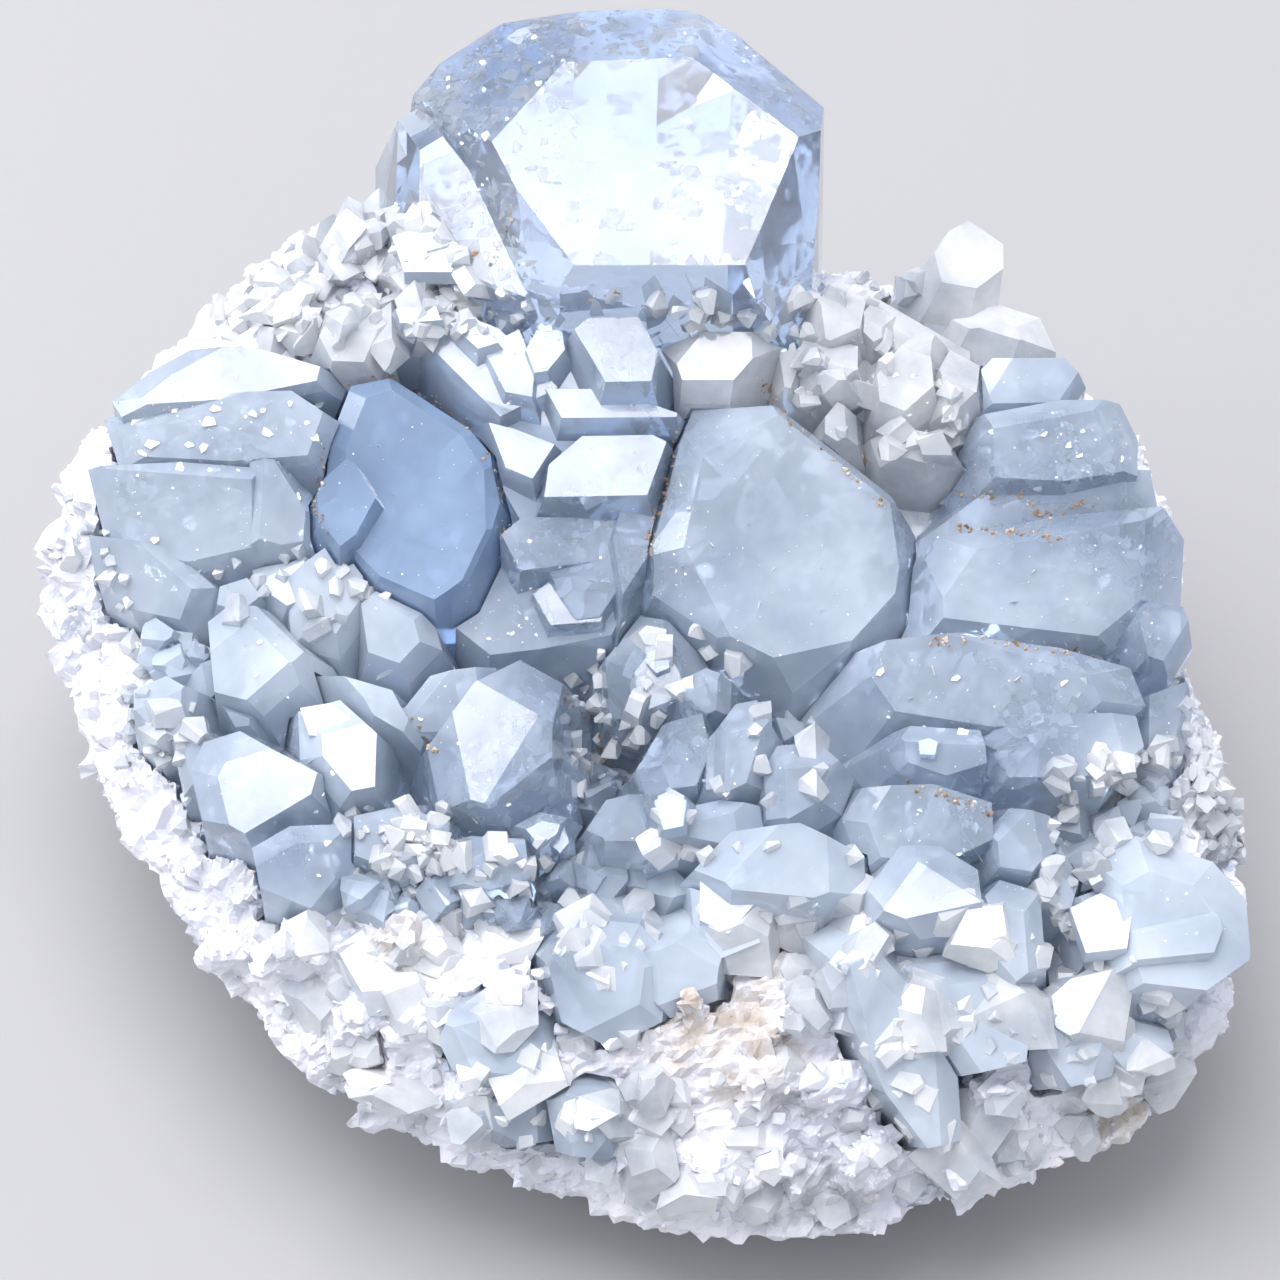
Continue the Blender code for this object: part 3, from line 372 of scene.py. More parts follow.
def crust_material():
    """White broken crust with beige and grey stains, and painted shade in one recess."""
    nodes = Nodes("crust")
    shader = nodes.shader
    stain = nodes.noise(CRUST_WAVES, 6.0, 0.65)
    colour = nodes.ramp(stain, [(0.30, (0.56, 0.58, 0.65)), (0.45, (0.68, 0.69, 0.75)),
                                (0.62, (0.76, 0.76, 0.80)), (0.78, (0.66, 0.62, 0.59))])
    nodes.link(stained_and_shaded(nodes, colour), shader.inputs["Base Color"])
    fine = nodes.noise(GRAIN_WAVES, 4.0, 0.7)
    nodes.link(nodes.span(fine, 0.3, 0.7, 0.30, 0.65), shader.inputs["Roughness"])
    nodes.bump(fine, BUMP_STRENGTH, BUMP_HEIGHT)
    return nodes.material


def sugar_material():
    """Small white crystals, each grain a shade of its own."""
    nodes = Nodes("sugar")
    shader = nodes.shader
    cells = nodes.add("ShaderNodeTexVoronoi", Scale=SUGAR_CELLS)
    nodes.link(nodes.place(), cells.inputs["Vector"])
    split = nodes.add("ShaderNodeSeparateColor")
    nodes.link(cells.outputs["Color"], split.inputs["Color"])
    colour = nodes.ramp(split.outputs["Red"],
                        [(0.0, (0.60, 0.66, 0.80)), (0.3, (0.72, 0.75, 0.84)),
                         (0.8, (0.83, 0.83, 0.87)), (1.0, (0.74, 0.69, 0.65))])
    nodes.link(stained_and_shaded(nodes, colour), shader.inputs["Base Color"])
    gloss = nodes.span(split.outputs["Green"], 0.0, 1.0, 0.05, 0.30)
    nodes.link(gloss, shader.inputs["Roughness"])
    shader.inputs["IOR"].default_value = CELESTITE_IOR
    return nodes.material


def rust_material():
    """Brown grains of dirt in the seams."""
    nodes = Nodes("seam_dirt")
    shade = nodes.noise(DIRT_WAVES, 2.0, 0.5)
    colour = nodes.ramp(shade, [(0.35, (0.16, 0.10, 0.06)), (0.52, (0.42, 0.28, 0.17)),
                                (0.66, (0.62, 0.55, 0.46))])
    nodes.link(colour, nodes.shader.inputs["Base Color"])
    nodes.shader.inputs["Roughness"].default_value = 0.8
    return nodes.material


# Each crystal material: name, tint, paler tint of its clouds, absorption colour and density,
# least and most transmission, and the scale of its clouds in waves a metre
CLEAR = crystal_material("clear_celestite", (0.79, 0.88, 1.0), (0.88, 0.93, 1.0),
                         (0.42, 0.68, 1.0), 11.0, (0.80, 0.97), 60.0)
MILKY = crystal_material("milky_celestite", (0.67, 0.81, 1.0), (0.82, 0.90, 1.0),
                         (0.44, 0.69, 1.0), 6.0, (0.36, 0.80), 30.0)
BLUE = crystal_material("blue_celestite", (0.33, 0.47, 0.70), (0.39, 0.54, 0.77),
                        (0.42, 0.63, 0.95), 16.0, (0.40, 0.70), 34.0)
ICE = crystal_material("small_crystals", (0.87, 0.93, 1.0), (0.98, 0.99, 1.0),
                       (0.46, 0.70, 1.0), 3.5, (0.36, 0.64), 120.0)
CRUST = crust_material()
SUGAR = sugar_material()
RUST = rust_material()

# The material of each crystal node, and its slot
CRYSTALS = {
    "great_crystal": (CLEAR, "clear"), "clear_cluster": (ICE, "clear"),
    "far_crystal": (ICE, "clear"), "ridge_crystals": (ICE, "clear"),
    "blue_crystal": (BLUE, "blue"), "round_crystal": (MILKY, "milky"),
    "stepped_crystal": (MILKY, "milky"), "left_block": (MILKY, "milky"),
    "right_stack": (MILKY, "milky"), "centre_low": (MILKY, "milky"),
    "centre_left": (MILKY, "milky"), "left_small": (MILKY, "milky"),
    "lower_left": (MILKY, "milky"), "lower_right": (MILKY, "milky"),
    "corner_crystal": (MILKY, "milky"), "front_left_block": (MILKY, "milky"),
    "front_middle_block": (MILKY, "milky"), "front_blade": (MILKY, "milky"),
    "front_right_block": (MILKY, "milky"),
}


def add_piece(name, data, material):
    """A piece from a mesh, riding on the cluster's one body."""
    data.materials.append(material)
    piece = new_object(name, data)
    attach(piece, "root")
    return piece


def new_piece(name, mesh, material, replaced=()):
    """A piece from a bmesh, which may stand for some nodes."""
    data = bpy.data.meshes.new(name)
    mesh.to_mesh(data)
    mesh.free()
    piece = add_piece(name, data, material)
    if replaced:
        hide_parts(*replaced)
    return piece


def crystals():
    """Each crystal node as a welded flat-faced solid."""
    for name, (material, slot) in CRYSTALS.items():
        mesh = cad_mesh(name)
        bmesh.ops.dissolve_limit(mesh, angle_limit=FLAT_ANGLE, verts=mesh.verts[:],
                                 edges=mesh.edges[:])
        bmesh.ops.triangulate(mesh, faces=mesh.faces[:])
        new_piece("crystal_" + name, mesh, material, [name])


def cell_relief(point, size, height, seed):
    """Relief of broken facets: each cell is a flat of its own height and tilt."""
    moved = point / size + Vector((seed * 17.3, seed * 5.1, seed * 9.7))
    _, spots = noise.voronoi(moved)
    spot = spots[0]
    shade = noise.cell_vector(spot * 7.31 + CELL_MIDDLE)
    tilt = noise.cell_vector(spot * 5.77 + Vector((3.5, 9.5, 1.5))) - CELL_MIDDLE
    return height * ((shade.x - 0.5) + CELL_TILT * tilt.dot(moved - spot))


def fine_mesh(name, voxel):
    """A node's mesh cut into small even faces, as a bmesh."""
    source = cad_mesh(name)
    data = bpy.data.meshes.new(name + "_fine")
    source.to_mesh(data)
    source.free()
    rough = new_object(name + "_fine", data)
    remesh = rough.modifiers.new("remesh", "REMESH")
    remesh.mode = "VOXEL"
    remesh.voxel_size = voxel
    graph = bpy.context.evaluated_depsgraph_get()
    fine = bpy.data.meshes.new_from_object(rough.evaluated_get(graph))
    bpy.data.objects.remove(rough)
    mesh = bmesh.new()
    mesh.from_mesh(fine)
    bpy.data.meshes.remove(fine)
    mesh.normal_update()
    return mesh


def matrix_piece():
    """The matrix with its broken, sugary surface."""
    mesh = fine_mesh("matrix", CRUST_VOXEL)
    moves = []
    for vert in mesh.verts:
        if vert.co.z < CRUST_FOOT:
            moves.append(Vector())
            continue
        relief = sum(cell_relief(vert.co, *cells) for cells in CRUST_CELLS)
        moves.append(vert.normal * (relief - CRUST_SUNK))
    for vert, move in zip(mesh.verts, moves):
        vert.co += move
        for axis in range(3):
            vert.co[axis] = max(cad_low[axis], min(cad_high[axis], vert.co[axis]))
    return new_piece("matrix_crust", mesh, CRUST, ["matrix"])


def facet_form(planes):
    """A small closed solid inside a list of planes: its corners and its triangles."""
    corners = []
    count = len(planes)
    normals = np.array([plane[0] for plane in planes])
    offsets = np.array([plane[1] for plane in planes])
    for i in range(count):
        for j in range(i + 1, count):
            for k in range(j + 1, count):
                rows = normals[[i, j, k]]
                if abs(np.linalg.det(rows)) < FORM_PARALLEL:
                    continue
                point = np.linalg.solve(rows, offsets[[i, j, k]])
                if np.all(normals @ point <= offsets + FORM_TOLERANCE):
                    corners.append(point)
    mesh = bmesh.new()
    for corner in corners:
        mesh.verts.new(corner)
    bmesh.ops.remove_doubles(mesh, verts=mesh.verts[:], dist=FORM_WELD)
    bmesh.ops.convex_hull(mesh, input=mesh.verts[:])
    bmesh.ops.delete(mesh, geom=[v for v in mesh.verts if not v.link_faces], context="VERTS")
    bmesh.ops.triangulate(mesh, faces=mesh.faces[:])
    bmesh.ops.recalc_face_normals(mesh, faces=mesh.faces[:])
    mesh.verts.index_update()
    verts = np.array([v.co for v in mesh.verts])
    tris = np.array([[v.index for v in f.verts] for f in mesh.faces])
    mesh.free()
    return verts, tris


def tilted(angle, lean):
    """A plane's outward direction from its bearing and its lean up from level."""
    return (math.cos(angle) * math.cos(lean), math.sin(angle) * math.cos(lean), math.sin(lean))


def point_form(rng, slim, blunt):
    """A crystal point: flat sides, and two or three broad sloping end faces."""
    planes = [((0.0, 0.0, -1.0), 1.0)]
    turn = rng.random() * math.tau
    sides = rng.choice(POINT_SIDES)
    for k in range(sides):
        angle = turn + k * math.tau / sides + rng.uniform(-0.25, 0.25)
        wide = slim if k % 2 else 1.0
        planes.append((tilted(angle, rng.uniform(*SIDE_LEAN)), wide * rng.uniform(*SIDE_REACH)))
    for k in range(rng.choice(POINT_ENDS)):
        angle = turn + 0.5 + k * math.tau / 2 + rng.uniform(-0.5, 0.5)
        planes.append((tilted(angle, rng.uniform(*END_LEAN)), rng.uniform(*END_REACH) * blunt))
    planes.append((tilted(turn + rng.uniform(-1, 1), rng.uniform(*TIP_LEAN)), TIP_REACH))
    return facet_form(planes)


def lump_form(rng):
    """A broken lump: a few flat faces every way."""
    planes = []
    count = rng.choice(LUMP_FACES)
    for k in range(count):
        height = -1.0 + 2.0 * (k + 0.5) / count
        flat = math.sqrt(1.0 - height * height)
        angle = k * LUMP_TURN + rng.uniform(-0.45, 0.45)
        planes.append(((flat * math.cos(angle), flat * math.sin(angle), height),
                       rng.uniform(*LUMP_REACH)))
    return facet_form(planes)


def turned(directions, spins):
    """Turning matrices that take +Z to each direction, spun about it."""
    up = directions / np.linalg.norm(directions, axis=1)[:, None]
    side = np.cross(np.where(np.abs(up[:, 2:]) < 0.9, (0.0, 0.0, 1.0), (1.0, 0.0, 0.0)), up)
    side /= np.linalg.norm(side, axis=1)[:, None]
    front = np.cross(up, side)
    cosine, sine = np.cos(spins)[:, None], np.sin(spins)[:, None]
    return np.stack([side * cosine + front * sine, front * cosine - side * sine, up], axis=2)


def grown(name, sites, forms, material, seed):
    """Many small crystals as one piece: sites are (place, direction, width, length, sunk)."""
    places, directions, widths, lengths, sunk = sites
    rng = np.random.default_rng(seed)
    count = len(places)
    turns = turned(directions, rng.random(count) * math.tau)
    kinds = rng.integers(0, len(forms), count)
    verts, tris, used = [], [], 0
    for kind, (form_verts, form_tris) in enumerate(forms):
        for index in np.nonzero(kinds == kind)[0]:
            shaped = form_verts * (widths[index], widths[index], lengths[index])
            shaped[:, 2] += lengths[index] * (1.0 - 2.0 * sunk[index])
            verts.append(shaped @ turns[index].T + places[index])
            tris.append(form_tris + used)
            used += len(form_verts)
    verts = np.clip(np.concatenate(verts), np.array(cad_low), np.array(cad_high))
    tris = np.concatenate(tris)
    data = bpy.data.meshes.new(name)
    data.from_pydata(verts.tolist(), [], tris.tolist())
    add_piece(name, data, material)


def surface_points(piece, count, seed):
    """Points spread evenly by area over a piece, with the outward direction at each."""
    data = piece.data
    data.calc_loop_triangles()
    corners = np.empty(len(data.vertices) * 3)
    data.vertices.foreach_get("co", corners)
    corners = corners.reshape(-1, 3)
    tris = np.empty(len(data.loop_triangles) * 3, dtype=int)
    data.loop_triangles.foreach_get("vertices", tris)
    a, b, c = (corners[tris.reshape(-1, 3)[:, k]] for k in range(3))
    cross = np.cross(b - a, c - a)
    sizes = np.linalg.norm(cross, axis=1)
    rng = np.random.default_rng(seed)
    chosen = rng.choice(len(sizes), count, p=sizes / sizes.sum())
    u, v = np.sqrt(rng.random(count))[:, None], rng.random(count)[:, None]
    points = a[chosen] * (1 - u) + b[chosen] * u * (1 - v) + c[chosen] * u * v
    return points, cross[chosen] / sizes[chosen][:, None]


def inside(outline, x, y):
    """Whether a point lies in an outline."""
    hit = False
    for (ax, ay), (bx, by) in zip(outline, outline[1:] + outline[:1]):
        if (ay > y) != (by > y) and x < (bx - ax) * (y - ay) / (by - ay) + ax:
            hit = not hit
    return hit


def box_point(rng, outline):
    """A random point of the photograph in an outline's box."""
    xs = [x for x, _ in outline]
    ys = [y for _, y in outline]
    return rng.uniform(min(xs), max(xs)), rng.uniform(min(ys), max(ys))


def drawn_size(rng, span, power):
    """A random size from a span in mm: the higher the power, the fewer large ones."""
    small, large = span
    return (small + (large - small) * rng.random() ** power) * MM


def loose_vector(rng, spread):
    """A random offset that shakes a direction."""
    return Vector([rng.gauss(0, spread) for _ in range(3)])


def columns(rows):
    """Sites as arrays: places, directions, widths, lengths and the shares sunk."""
    return tuple(np.array([row[k] for row in rows], dtype=float) for k in range(5))


def grainy(x, y):
    """Whether a point is in the patch of the front that carries no lumps."""
    return math.hypot(x - GRAINY[0], y - GRAINY[1]) < GRAINY[2]


def sites_in(regions, sunk, seed):
    """Growing places inside outlines of the photograph."""
    rng = random.Random(seed)
    rows = []
    for outline, count, sizes, slenderness in regions:
        made = 0
        while made < count:
            x, y = box_point(rng, outline)
            if not inside(outline, x, y) or grainy(x, y):
                continue
            made += 1
            place, normal = seen_at(x, y)
            if place is None:
                continue
            size = drawn_size(rng, sizes, power=1.8)
            loose = loose_vector(rng, spread=1) * 0.45
            aim = normal + Vector((0, 0, 0.5)) + BACKWARDS * 0.3 + loose
            rows.append((place, aim, size, size * rng.uniform(*slenderness), rng.uniform(*sunk)))
    return columns(rows)


def gap_sites(outline, tries, sizes, slenderness, sunk, seed):
    """Growing places where the bare matrix shows between the large crystals."""
    rng = random.Random(seed)
    rows = []
    for _ in range(tries):
        x, y = box_point(rng, outline)
        size = drawn_size(rng, sizes, power=1.5)
        stretch = rng.uniform(*slenderness)
        loose = loose_vector(rng, spread=0.4)
        deep = rng.uniform(*sunk)
        _, _, _, far = MATRIX_TREE.ray_cast(EYE, view_ray(x, y))
        place, normal, _, near = CLUSTER_TREE.ray_cast(EYE, view_ray(x, y))
        if far is None or far > near + NEAR_ENOUGH or not inside(outline, x, y):
            continue
        aim = normal + UPWARDS * 0.3 + BACKWARDS * 0.4 + loose
        rows.append((place, aim, size, size * stretch, deep))
    return columns(rows)


def free_sites(points, normals, sizes, slenderness, sunk, seed):
    """Growing places at given surface points."""
    rng = np.random.default_rng(seed)
    count = len(points)
    small, large = sizes
    width = (small + (large - small) * rng.random(count) ** 2.0) * MM
    # The more the surface faces down, the smaller the grains
    width *= np.clip((normals[:, 2] + 0.5) / 1.1, 0.45, 1.0)
    aims = normals + rng.normal(0, 0.55, (count, 3)) + (0, 0, 0.3)
    length = width * rng.uniform(*slenderness, count)
    return points, aims, width, length, rng.uniform(*sunk, count)


# Where small see-through crystals crowd, in points of the photograph:
# outline, how many, sizes in mm, length as a share of width
SPRIG_REGIONS = [
    ([(200, 330), (235, 262), (320, 195), (400, 185), (470, 262), (480, 330), (430, 345),
      (330, 345), (250, 345)], 120, (0.8, 2.8), (0.8, 1.7)),
    ([(396, 300), (480, 285), (530, 300), (510, 340), (470, 335), (410, 335)], 26, (0.6, 1.6),
     (0.8, 1.4)),
    ([(640, 300), (700, 290), (780, 320), (760, 350), (690, 330)], 12, (0.9, 2.2), (0.8, 1.4)),
    ([(780, 300), (860, 290), (900, 340), (975, 400), (965, 460), (880, 455), (810, 430)],
     34, (0.8, 2.3), (0.9, 1.6)),
    ([(205, 560), (330, 545), (400, 590), (300, 640), (210, 620)], 22, (0.9, 2.2), (0.8, 1.4)),
    ([(120, 640), (200, 640), (200, 760), (150, 760)], 22, (0.8, 2.2), (0.8, 1.4)),
    ([(60, 470), (100, 470), (130, 600), (150, 720), (200, 820), (200, 900), (130, 800),
      (70, 650)], 40, (0.5, 1.4), (0.8, 1.3)),
    ([(340, 806), (450, 806), (450, 924), (348, 924)], 60, (0.6, 1.8), (0.8, 1.4)),
    ([(450, 860), (560, 830), (600, 860), (590, 920), (450, 920)], 34, (0.8, 2.4), (0.8, 1.4)),
    ([(560, 672), (612, 700), (612, 800), (570, 800)], 26, (0.6, 1.6), (0.8, 1.5)),
    ([(590, 640), (700, 620), (860, 700), (850, 870), (700, 860), (590, 850)], 36, (0.8, 2.2),
     (0.8, 1.5)),
    ([(1060, 760), (1180, 740), (1240, 780), (1245, 850), (1120, 850), (1070, 960),
      (1040, 900)], 90, (0.7, 2.2), (0.8, 1.5)),
    ([(1180, 690), (1240, 800), (1250, 880), (1230, 880), (1190, 780)], 50, (0.6, 1.6),
     (0.8, 1.5)),
    ([(830, 240), (920, 256), (920, 290), (840, 290)], 30, (0.8, 2.2), (0.8, 1.4)),
]

# The low front: lumps of ice-like crystal in white sugar
FRONT = [(230, 900), (340, 910), (560, 900), (760, 880), (1040, 930), (1200, 1000), (1180, 1090),
         (1000, 1180), (760, 1220), (560, 1180), (400, 1120), (290, 1030)]
LUMP_REGIONS = [(FRONT, 110, (2.0, 5.5), (0.4, 0.8)), (FRONT, 200, (0.8, 2.4), (0.5, 1.0))]
GRAINY = (700, 990, 75)         # a patch of the front without lumps: a point and its radius

# Where small crystals fill the gaps between the large ones
GAP_ZONE = [(150, 620), (210, 560), (420, 560), (560, 640), (640, 600), (900, 660), (1060, 740),
            (1170, 760), (1160, 860), (1060, 900), (980, 930), (700, 900), (560, 930), (300, 900),
            (190, 800)]

# Where thin cracks run inside the large crystals, and which ways they face
VEIL_ZONE = [(100, 400), (240, 330), (420, 300), (640, 290), (900, 330), (1100, 400), (1190, 560),
             (1230, 900), (1180, 1010), (900, 920), (700, 880), (300, 900), (170, 700)]
VEIL_WAYS = ((0.9, 0.3, 0.3), (-0.3, 0.9, 0.5), (-0.5, -0.4, 0.8))

# Clouds of small flakes in the crystals: outline in points of the photograph, how many,
# depth under the surface and size in mm, and the share that mirrors the lamp
CLOUDS = [
    ([(402, 112), (440, 66), (494, 44), (580, 16), (690, 20), (690, 55), (580, 64), (500, 130),
      (470, 150)], 420, (0.3, 7.0), (0.15, 1.3), 0.1),
    ([(700, 24), (736, 36), (800, 92), (790, 104), (740, 60)], 60, (0.0, 1.0), (0.12, 0.6), 0.12),
    ([(452, 175), (490, 160), (545, 270), (520, 285)], 80, (0.2, 4.0), (0.15, 1.0), 0.1),
    ([(500, 120), (560, 70), (600, 150), (540, 200)], 50, (1.0, 8.0), (0.15, 1.2), 0.0),
    ([(110, 400), (190, 380), (325, 404), (325, 470), (250, 476), (110, 470)], 420, (0.2, 2.2),
     (0.2, 2.2), 0.07),
    ([(110, 470), (325, 470), (320, 560), (200, 600), (120, 520)], 130, (0.1, 3.0), (0.2, 1.6),
     0.1),
    ([(1050, 412), (1120, 410), (1134, 470), (1070, 480)], 160, (-0.1, 1.5), (0.15, 1.0), 0.07),
    ([(1020, 560), (1100, 530), (1176, 560), (1160, 640), (1080, 620)], 200, (-0.1, 2.0),
     (0.15, 1.0), 0.05),
    ([(880, 660), (1080, 660), (1080, 740), (880, 740)], 260, (0.0, 3.0), (0.15, 1.6), 0.04),
    ([(920, 420), (1060, 400), (1080, 480), (940, 490)], 120, (0.3, 4.0), (0.15, 1.4), 0.1),
    ([(450, 580), (530, 576), (540, 640), (480, 640)], 160, (-0.05, 1.5), (0.12, 0.8), 0.12),
    ([(500, 520), (620, 520), (630, 566), (500, 572)], 90, (0.0, 1.5), (0.12, 1.0), 0.1),
    ([(470, 320), (560, 330), (560, 400), (480, 410)], 160, (-0.05, 0.8), (0.2, 1.3), 0.12),
    ([(670, 480), (690, 470), (690, 600), (676, 600)], 70, (-0.05, 0.6), (0.15, 0.8), 0.12),
    ([(720, 420), (860, 430), (900, 560), (820, 640), (720, 560)], 90, (1.0, 8.0), (0.3, 2.4),
     0.0),
    ([(850, 800), (990, 800), (980, 860), (860, 860)], 150, (0.0, 2.0), (0.15, 0.9), 0.05),
    ([(220, 620), (300, 640), (290, 700), (220, 690)], 90, (0.0, 2.0), (0.12, 0.9), 0.05),
    ([(420, 700), (560, 700), (560, 850), (420, 800)], 130, (0.1, 3.0), (0.15, 1.2), 0.1),
    ([(200, 760), (350, 760), (340, 880), (220, 860)], 130, (0.1, 3.0), (0.15, 1.2), 0.1),
    ([(620, 640), (760, 660), (760, 800), (640, 800)], 160, (0.0, 2.0), (0.15, 1.1), 0.05),
    ([(760, 320), (970, 330), (960, 470), (830, 460)], 200, (0.0, 2.0), (0.15, 1.2), 0.07),
    ([(1080, 880), (1220, 880), (1200, 1000), (1100, 1000)], 120, (0.0, 2.0), (0.15, 1.0), 0.04),
]

# Small faces that mirror the lamp: height over the surface in mm, and the outline in points
# of the photograph
BRIGHT_FACES = [
    (3.0, [(894, 500), (919, 490), (933, 502), (950, 492), (953, 513), (958, 521), (927, 554),
           (912, 551)]),
    (0.7, [(645, 642), (658, 637), (672, 643), (669, 668), (656, 673), (646, 662)]),
    (0.7, [(654, 801), (668, 792), (687, 800), (683, 826), (664, 830)]),
    (0.7, [(918, 741), (929, 738), (938, 742), (935, 755), (920, 754)]),
    (0.7, [(300, 708), (330, 703), (351, 718), (338, 737), (309, 735)]),
    (0.7, [(392, 236), (424, 226), (458, 243), (452, 272), (404, 272)]),
    (0.7, [(1070, 908), (1100, 893), (1133, 909), (1127, 948), (1086, 953)]),
    (0.7, [(1123, 778), (1148, 767), (1168, 790), (1157, 823), (1131, 819)]),
    (0.7, [(700, 880), (740, 872), (756, 902), (728, 934), (700, 920)]),
    (0.7, [(396, 309), (436, 306), (441, 320), (400, 323)]),
    (0.7, [(548, 842), (562, 820), (569, 842), (560, 853)]),
]

# Seams where dirt has gathered: a line in points of the photograph, and how many grains
SEAMS = [
    ([(678, 430), (667, 484), (652, 527), (649, 556)], 90),
    ([(759, 381), (793, 423), (831, 454), (870, 496), (908, 523)], 60),
    ([(950, 492), (1019, 496), (1042, 515), (1099, 500)], 70),
    ([(954, 528), (1000, 530), (1061, 538)], 60),
    ([(900, 639), (984, 639), (1040, 648), (1092, 655)], 70),
    ([(351, 387), (394, 377), (433, 400), (468, 423), (501, 479), (501, 509)], 60),
    ([(325, 448), (315, 507), (330, 540)], 40),
    ([(439, 229), (462, 249), (494, 264), (515, 199)], 40),
    ([(585, 298), (629, 290)], 14),
    ([(500, 528), (504, 538)], 12),
    ([(860, 455), (868, 462)], 14),
    ([(764, 380), (770, 392)], 12),
    ([(909, 785), (960, 800), (998, 815)], 40),
    ([(560, 690), (590, 720), (606, 760)], 40),
    ([(408, 714), (430, 744), (440, 752)], 24),
]

# Specks of dust, written as one more cloud, on the surface
DUST = ([(110, 380), (480, 300), (1000, 300), (1180, 500), (1190, 780), (1240, 980), (860, 940),
         (300, 900), (110, 700)], 900, (-0.05, 0.0), (0.05, 0.15), 0.0)


def cloud_sites(clouds, seed):
    """Places in and on the crystals, inside outlines of the photograph."""
    rng = random.Random(seed)
    rows = []
    for outline, count, depths, sizes, mirrors in clouds:
        made = 0
        while made < count:
            x, y = box_point(rng, outline)
            if not inside(outline, x, y):
                continue
            made += 1
            place, normal = seen_at(x, y)
            if place is None:
                continue
            size = drawn_size(rng, sizes, power=2.5)
            loose = loose_vector(rng, spread=1)
            if rng.random() < mirrors:
                size *= MIRROR_SIZE
                aim = GLARE + loose * 0.05
                place += normal * MIRROR_PROUD * MM
            else:
                aim = normal + loose * 0.5
                place -= BACKWARDS * rng.uniform(*depths) * MM
                size = min(size, CLUSTER_TREE.find_nearest(place)[3] + FLAKE_PROUD)
            rows.append((place, aim, size, size * rng.uniform(0.5, 1.2), 0.5))
    return columns(rows)


def seam_sites(seams, sizes, spread, seed):
    """Places along lines of the photograph, on the surface."""
    rng = random.Random(seed)
    rows = []
    for line, count in seams:
        for _ in range(count):
            leg = rng.randrange(len(line) - 1)
            share = rng.random()
            (ax, ay), (bx, by) = line[leg], line[leg + 1]
            place, normal = seen_at(ax + (bx - ax) * share + rng.gauss(0, spread),
                                    ay + (by - ay) * share + rng.gauss(0, spread))
            if place is None:
                continue
            size = drawn_size(rng, sizes, power=2.0)
            aim = normal + loose_vector(rng, spread=0.4)
            rows.append((place, aim, size, size * rng.uniform(0.6, 1.2), 0.4))
    return columns(rows)


def veil_sites(outline, tries, sizes, seed):
    """Thin healed cracks inside the large crystals, each close to one of three directions."""
    rng = random.Random(seed)
    rows = []
    for _ in range(tries):
        x, y = box_point(rng, outline)
        size = drawn_size(rng, sizes, power=2.0)
        way = Vector(rng.choice(VEIL_WAYS)) + loose_vector(rng, spread=0.25)
        deep = rng.uniform(0.6, 1.1) * size
        _, _, _, far = MATRIX_TREE.ray_cast(EYE, view_ray(x, y))
        place, normal, _, near = CLUSTER_TREE.ray_cast(EYE, view_ray(x, y))
        if near is None or not inside(outline, x, y) or (far is not None and far < near + deep):
            continue
        middle = place - normal * deep
        size = min(size, CLUSTER_TREE.find_nearest(middle)[3])
        rows.append((middle, way, size, size * rng.uniform(0.08, 0.2), 0.5))
    return columns(rows)


def flake_form(rng):
    """A thin flake with an uneven outline."""
    planes = [((0.0, 0.0, 1.0), FLAKE_HALF_DEPTH), ((0.0, 0.0, -1.0), FLAKE_HALF_DEPTH)]
    turn = rng.random() * math.tau
    for k in range(FLAKE_SIDES):
        angle = turn + k * math.tau / FLAKE_SIDES + rng.uniform(-0.4, 0.4)
        planes.append((tilted(angle, 0.0), rng.uniform(*FLAKE_REACH)))
    return facet_form(planes)


def bright_faces():
    """Small crystals whose end face mirrors the lamp."""
    mesh = bmesh.new()
    for lift, outline in BRIGHT_FACES:
        middle = [sum(point[k] for point in outline) / len(outline) for k in range(2)]
        place, normal = seen_at(*middle)
        if place is None:
            continue
        origin = place + normal * lift * MM
        root = GLARE * (lift + BRIGHT_ROOT) * MM
        top, foot = [], []
        for x, y in outline:
            ray = view_ray(x, y)
            share = (origin - EYE).dot(GLARE) / ray.dot(GLARE)
            corner = EYE + ray * share
            top.append(mesh.verts.new(corner))
            foot.append(mesh.verts.new(origin + (corner - origin) * BRIGHT_SPREAD - root))
        mesh.faces.new(top)
        mesh.faces.new(foot[::-1])
        for k, corner in enumerate(top):
            mesh.faces.new((foot[k], foot[(k + 1) % len(top)], top[(k + 1) % len(top)], corner))
    bmesh.ops.recalc_face_normals(mesh, faces=mesh.faces)
    new_piece("bright_faces", mesh, MILKY)


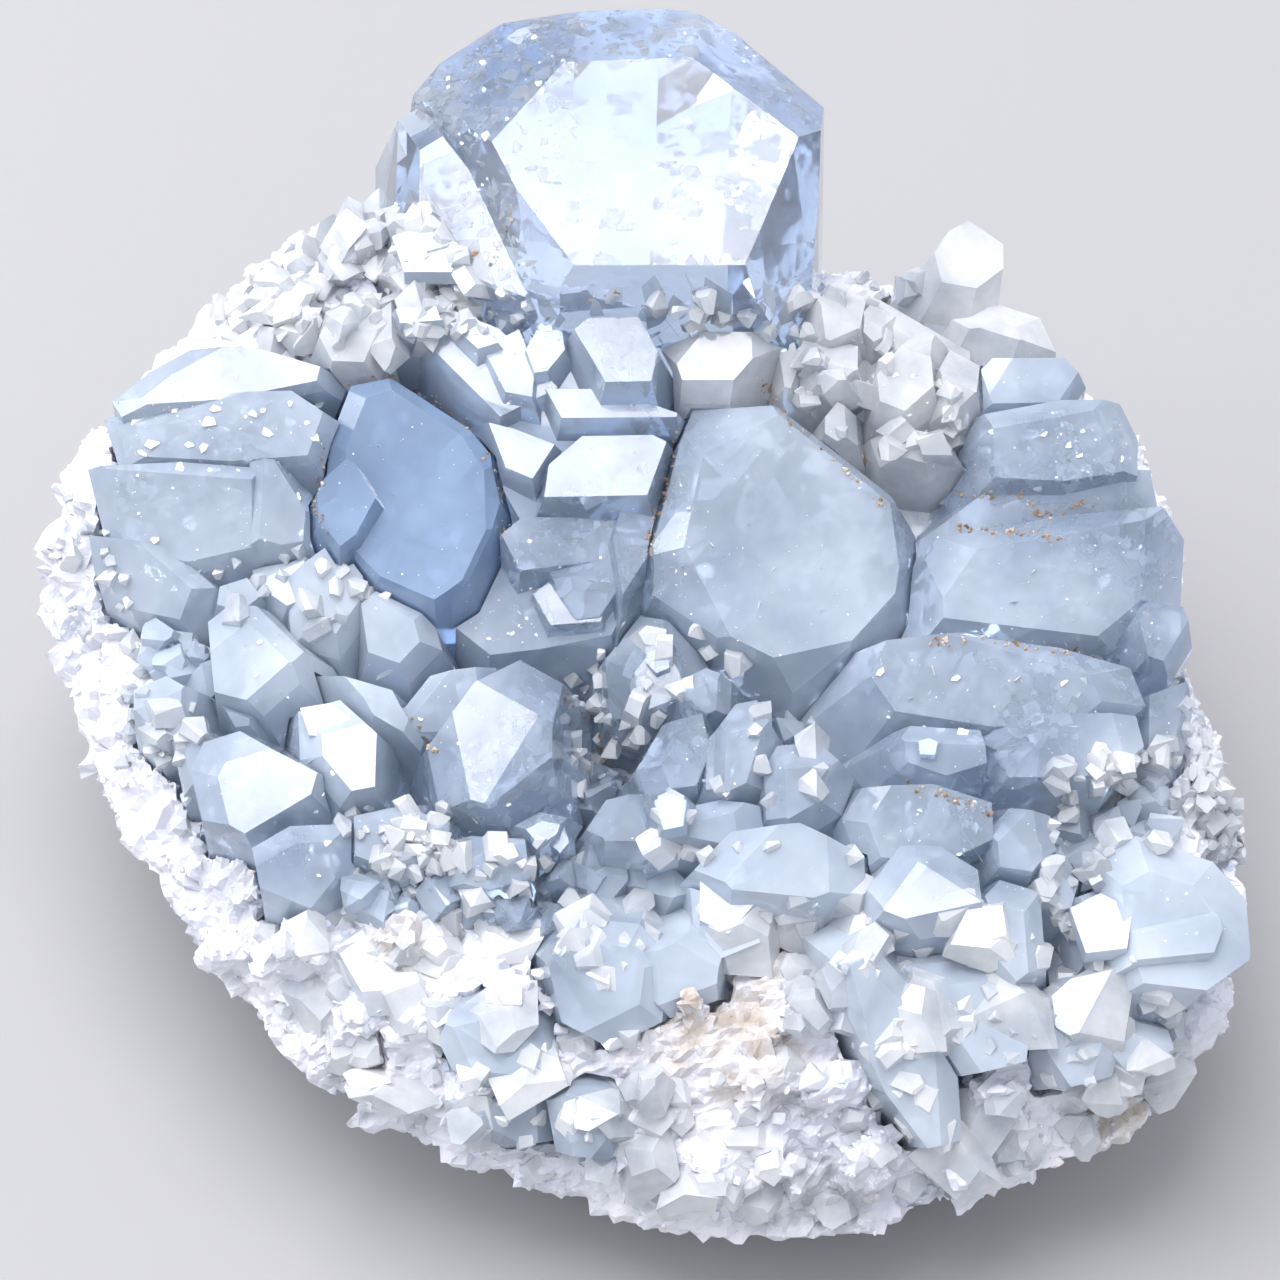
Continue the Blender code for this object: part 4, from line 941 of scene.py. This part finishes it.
def sugar(matrix, lumps):
    """White sugar in patches over the matrix, as two pieces."""
    places, normals = surface_points(matrix, SUGAR_POINTS, seed=41)
    patch = np.array([noise.noise(Vector(place) * SUGAR_PATCHES) for place in places])
    keep = (places[:, 2] > SUGAR_LOWEST) & (normals[:, 2] > SUGAR_OVERHANG) & (patch > SUGAR_BARE)
    places, normals = places[keep], normals[keep]
    half = len(places) // 2
    for number, part in enumerate((slice(0, half), slice(half, None))):
        sites = free_sites(places[part], normals[part], sizes=(0.20, 0.75),
                           slenderness=(0.5, 0.9), sunk=(0.55, 0.8), seed=51 + number)
        grown(f"sugar_{number + 1}", sites, lumps, SUGAR, seed=61 + number)


def fine_detail(lumps):
    """Flakes and cracks inside the crystals, dirt in the seams and dust on the faces."""
    rng = random.Random(17)
    flakes = [flake_form(rng) for _ in range(FLAKE_COUNT)]
    grown("inner_flakes", cloud_sites(CLOUDS, seed=71), flakes, ICE, seed=72)
    veils = veil_sites(VEIL_ZONE, tries=1500, sizes=(0.8, 4.0), seed=77)
    grown("veils", veils, flakes, ICE, seed=78)
    dirt = seam_sites(SEAMS, sizes=(0.06, 0.28), spread=2.5, seed=73)
    grown("seam_dirt", dirt, lumps, RUST, seed=74)
    grown("dust", cloud_sites([DUST], seed=75), flakes, SUGAR, seed=76)
    bright_faces()


def small_growth(matrix):
    """Sugar over the matrix, and small crystals and lumps between the great ones."""
    rng = random.Random(11)
    points = [point_form(rng, rng.uniform(0.6, 1.0), rng.uniform(0.9, 1.2))
              for _ in range(FORM_COUNT)]
    lumps = [lump_form(rng) for _ in range(FORM_COUNT)]
    sprigs = sites_in(SPRIG_REGIONS, sunk=(0.52, 0.72), seed=21)
    grown("sprigs", sprigs, points, ICE, seed=31)
    gaps = gap_sites(GAP_ZONE, tries=4200, sizes=(0.8, 3.0), slenderness=(0.8, 1.5),
                     sunk=(0.35, 0.55), seed=23)
    grown("gap_crystals", gaps, points, MILKY, seed=33)
    blocks = sites_in(LUMP_REGIONS, sunk=(0.70, 0.90), seed=22)
    grown("front_lumps", blocks, lumps, ICE, seed=32)
    sugar(matrix, lumps)
    fine_detail(lumps)


def light_paths():
    """Plain view colours, and enough bounces for light to pass through several crystals."""
    SCENE.view_settings.view_transform = "Standard"
    cycles = SCENE.cycles
    cycles.max_bounces = 8
    cycles.transmission_bounces = 7
    cycles.diffuse_bounces = 3
    cycles.glossy_bounces = 4
    cycles.adaptive_threshold = 0.25


new_camera()
light_paths()
studio()
crystals()
small_growth(matrix_piece())
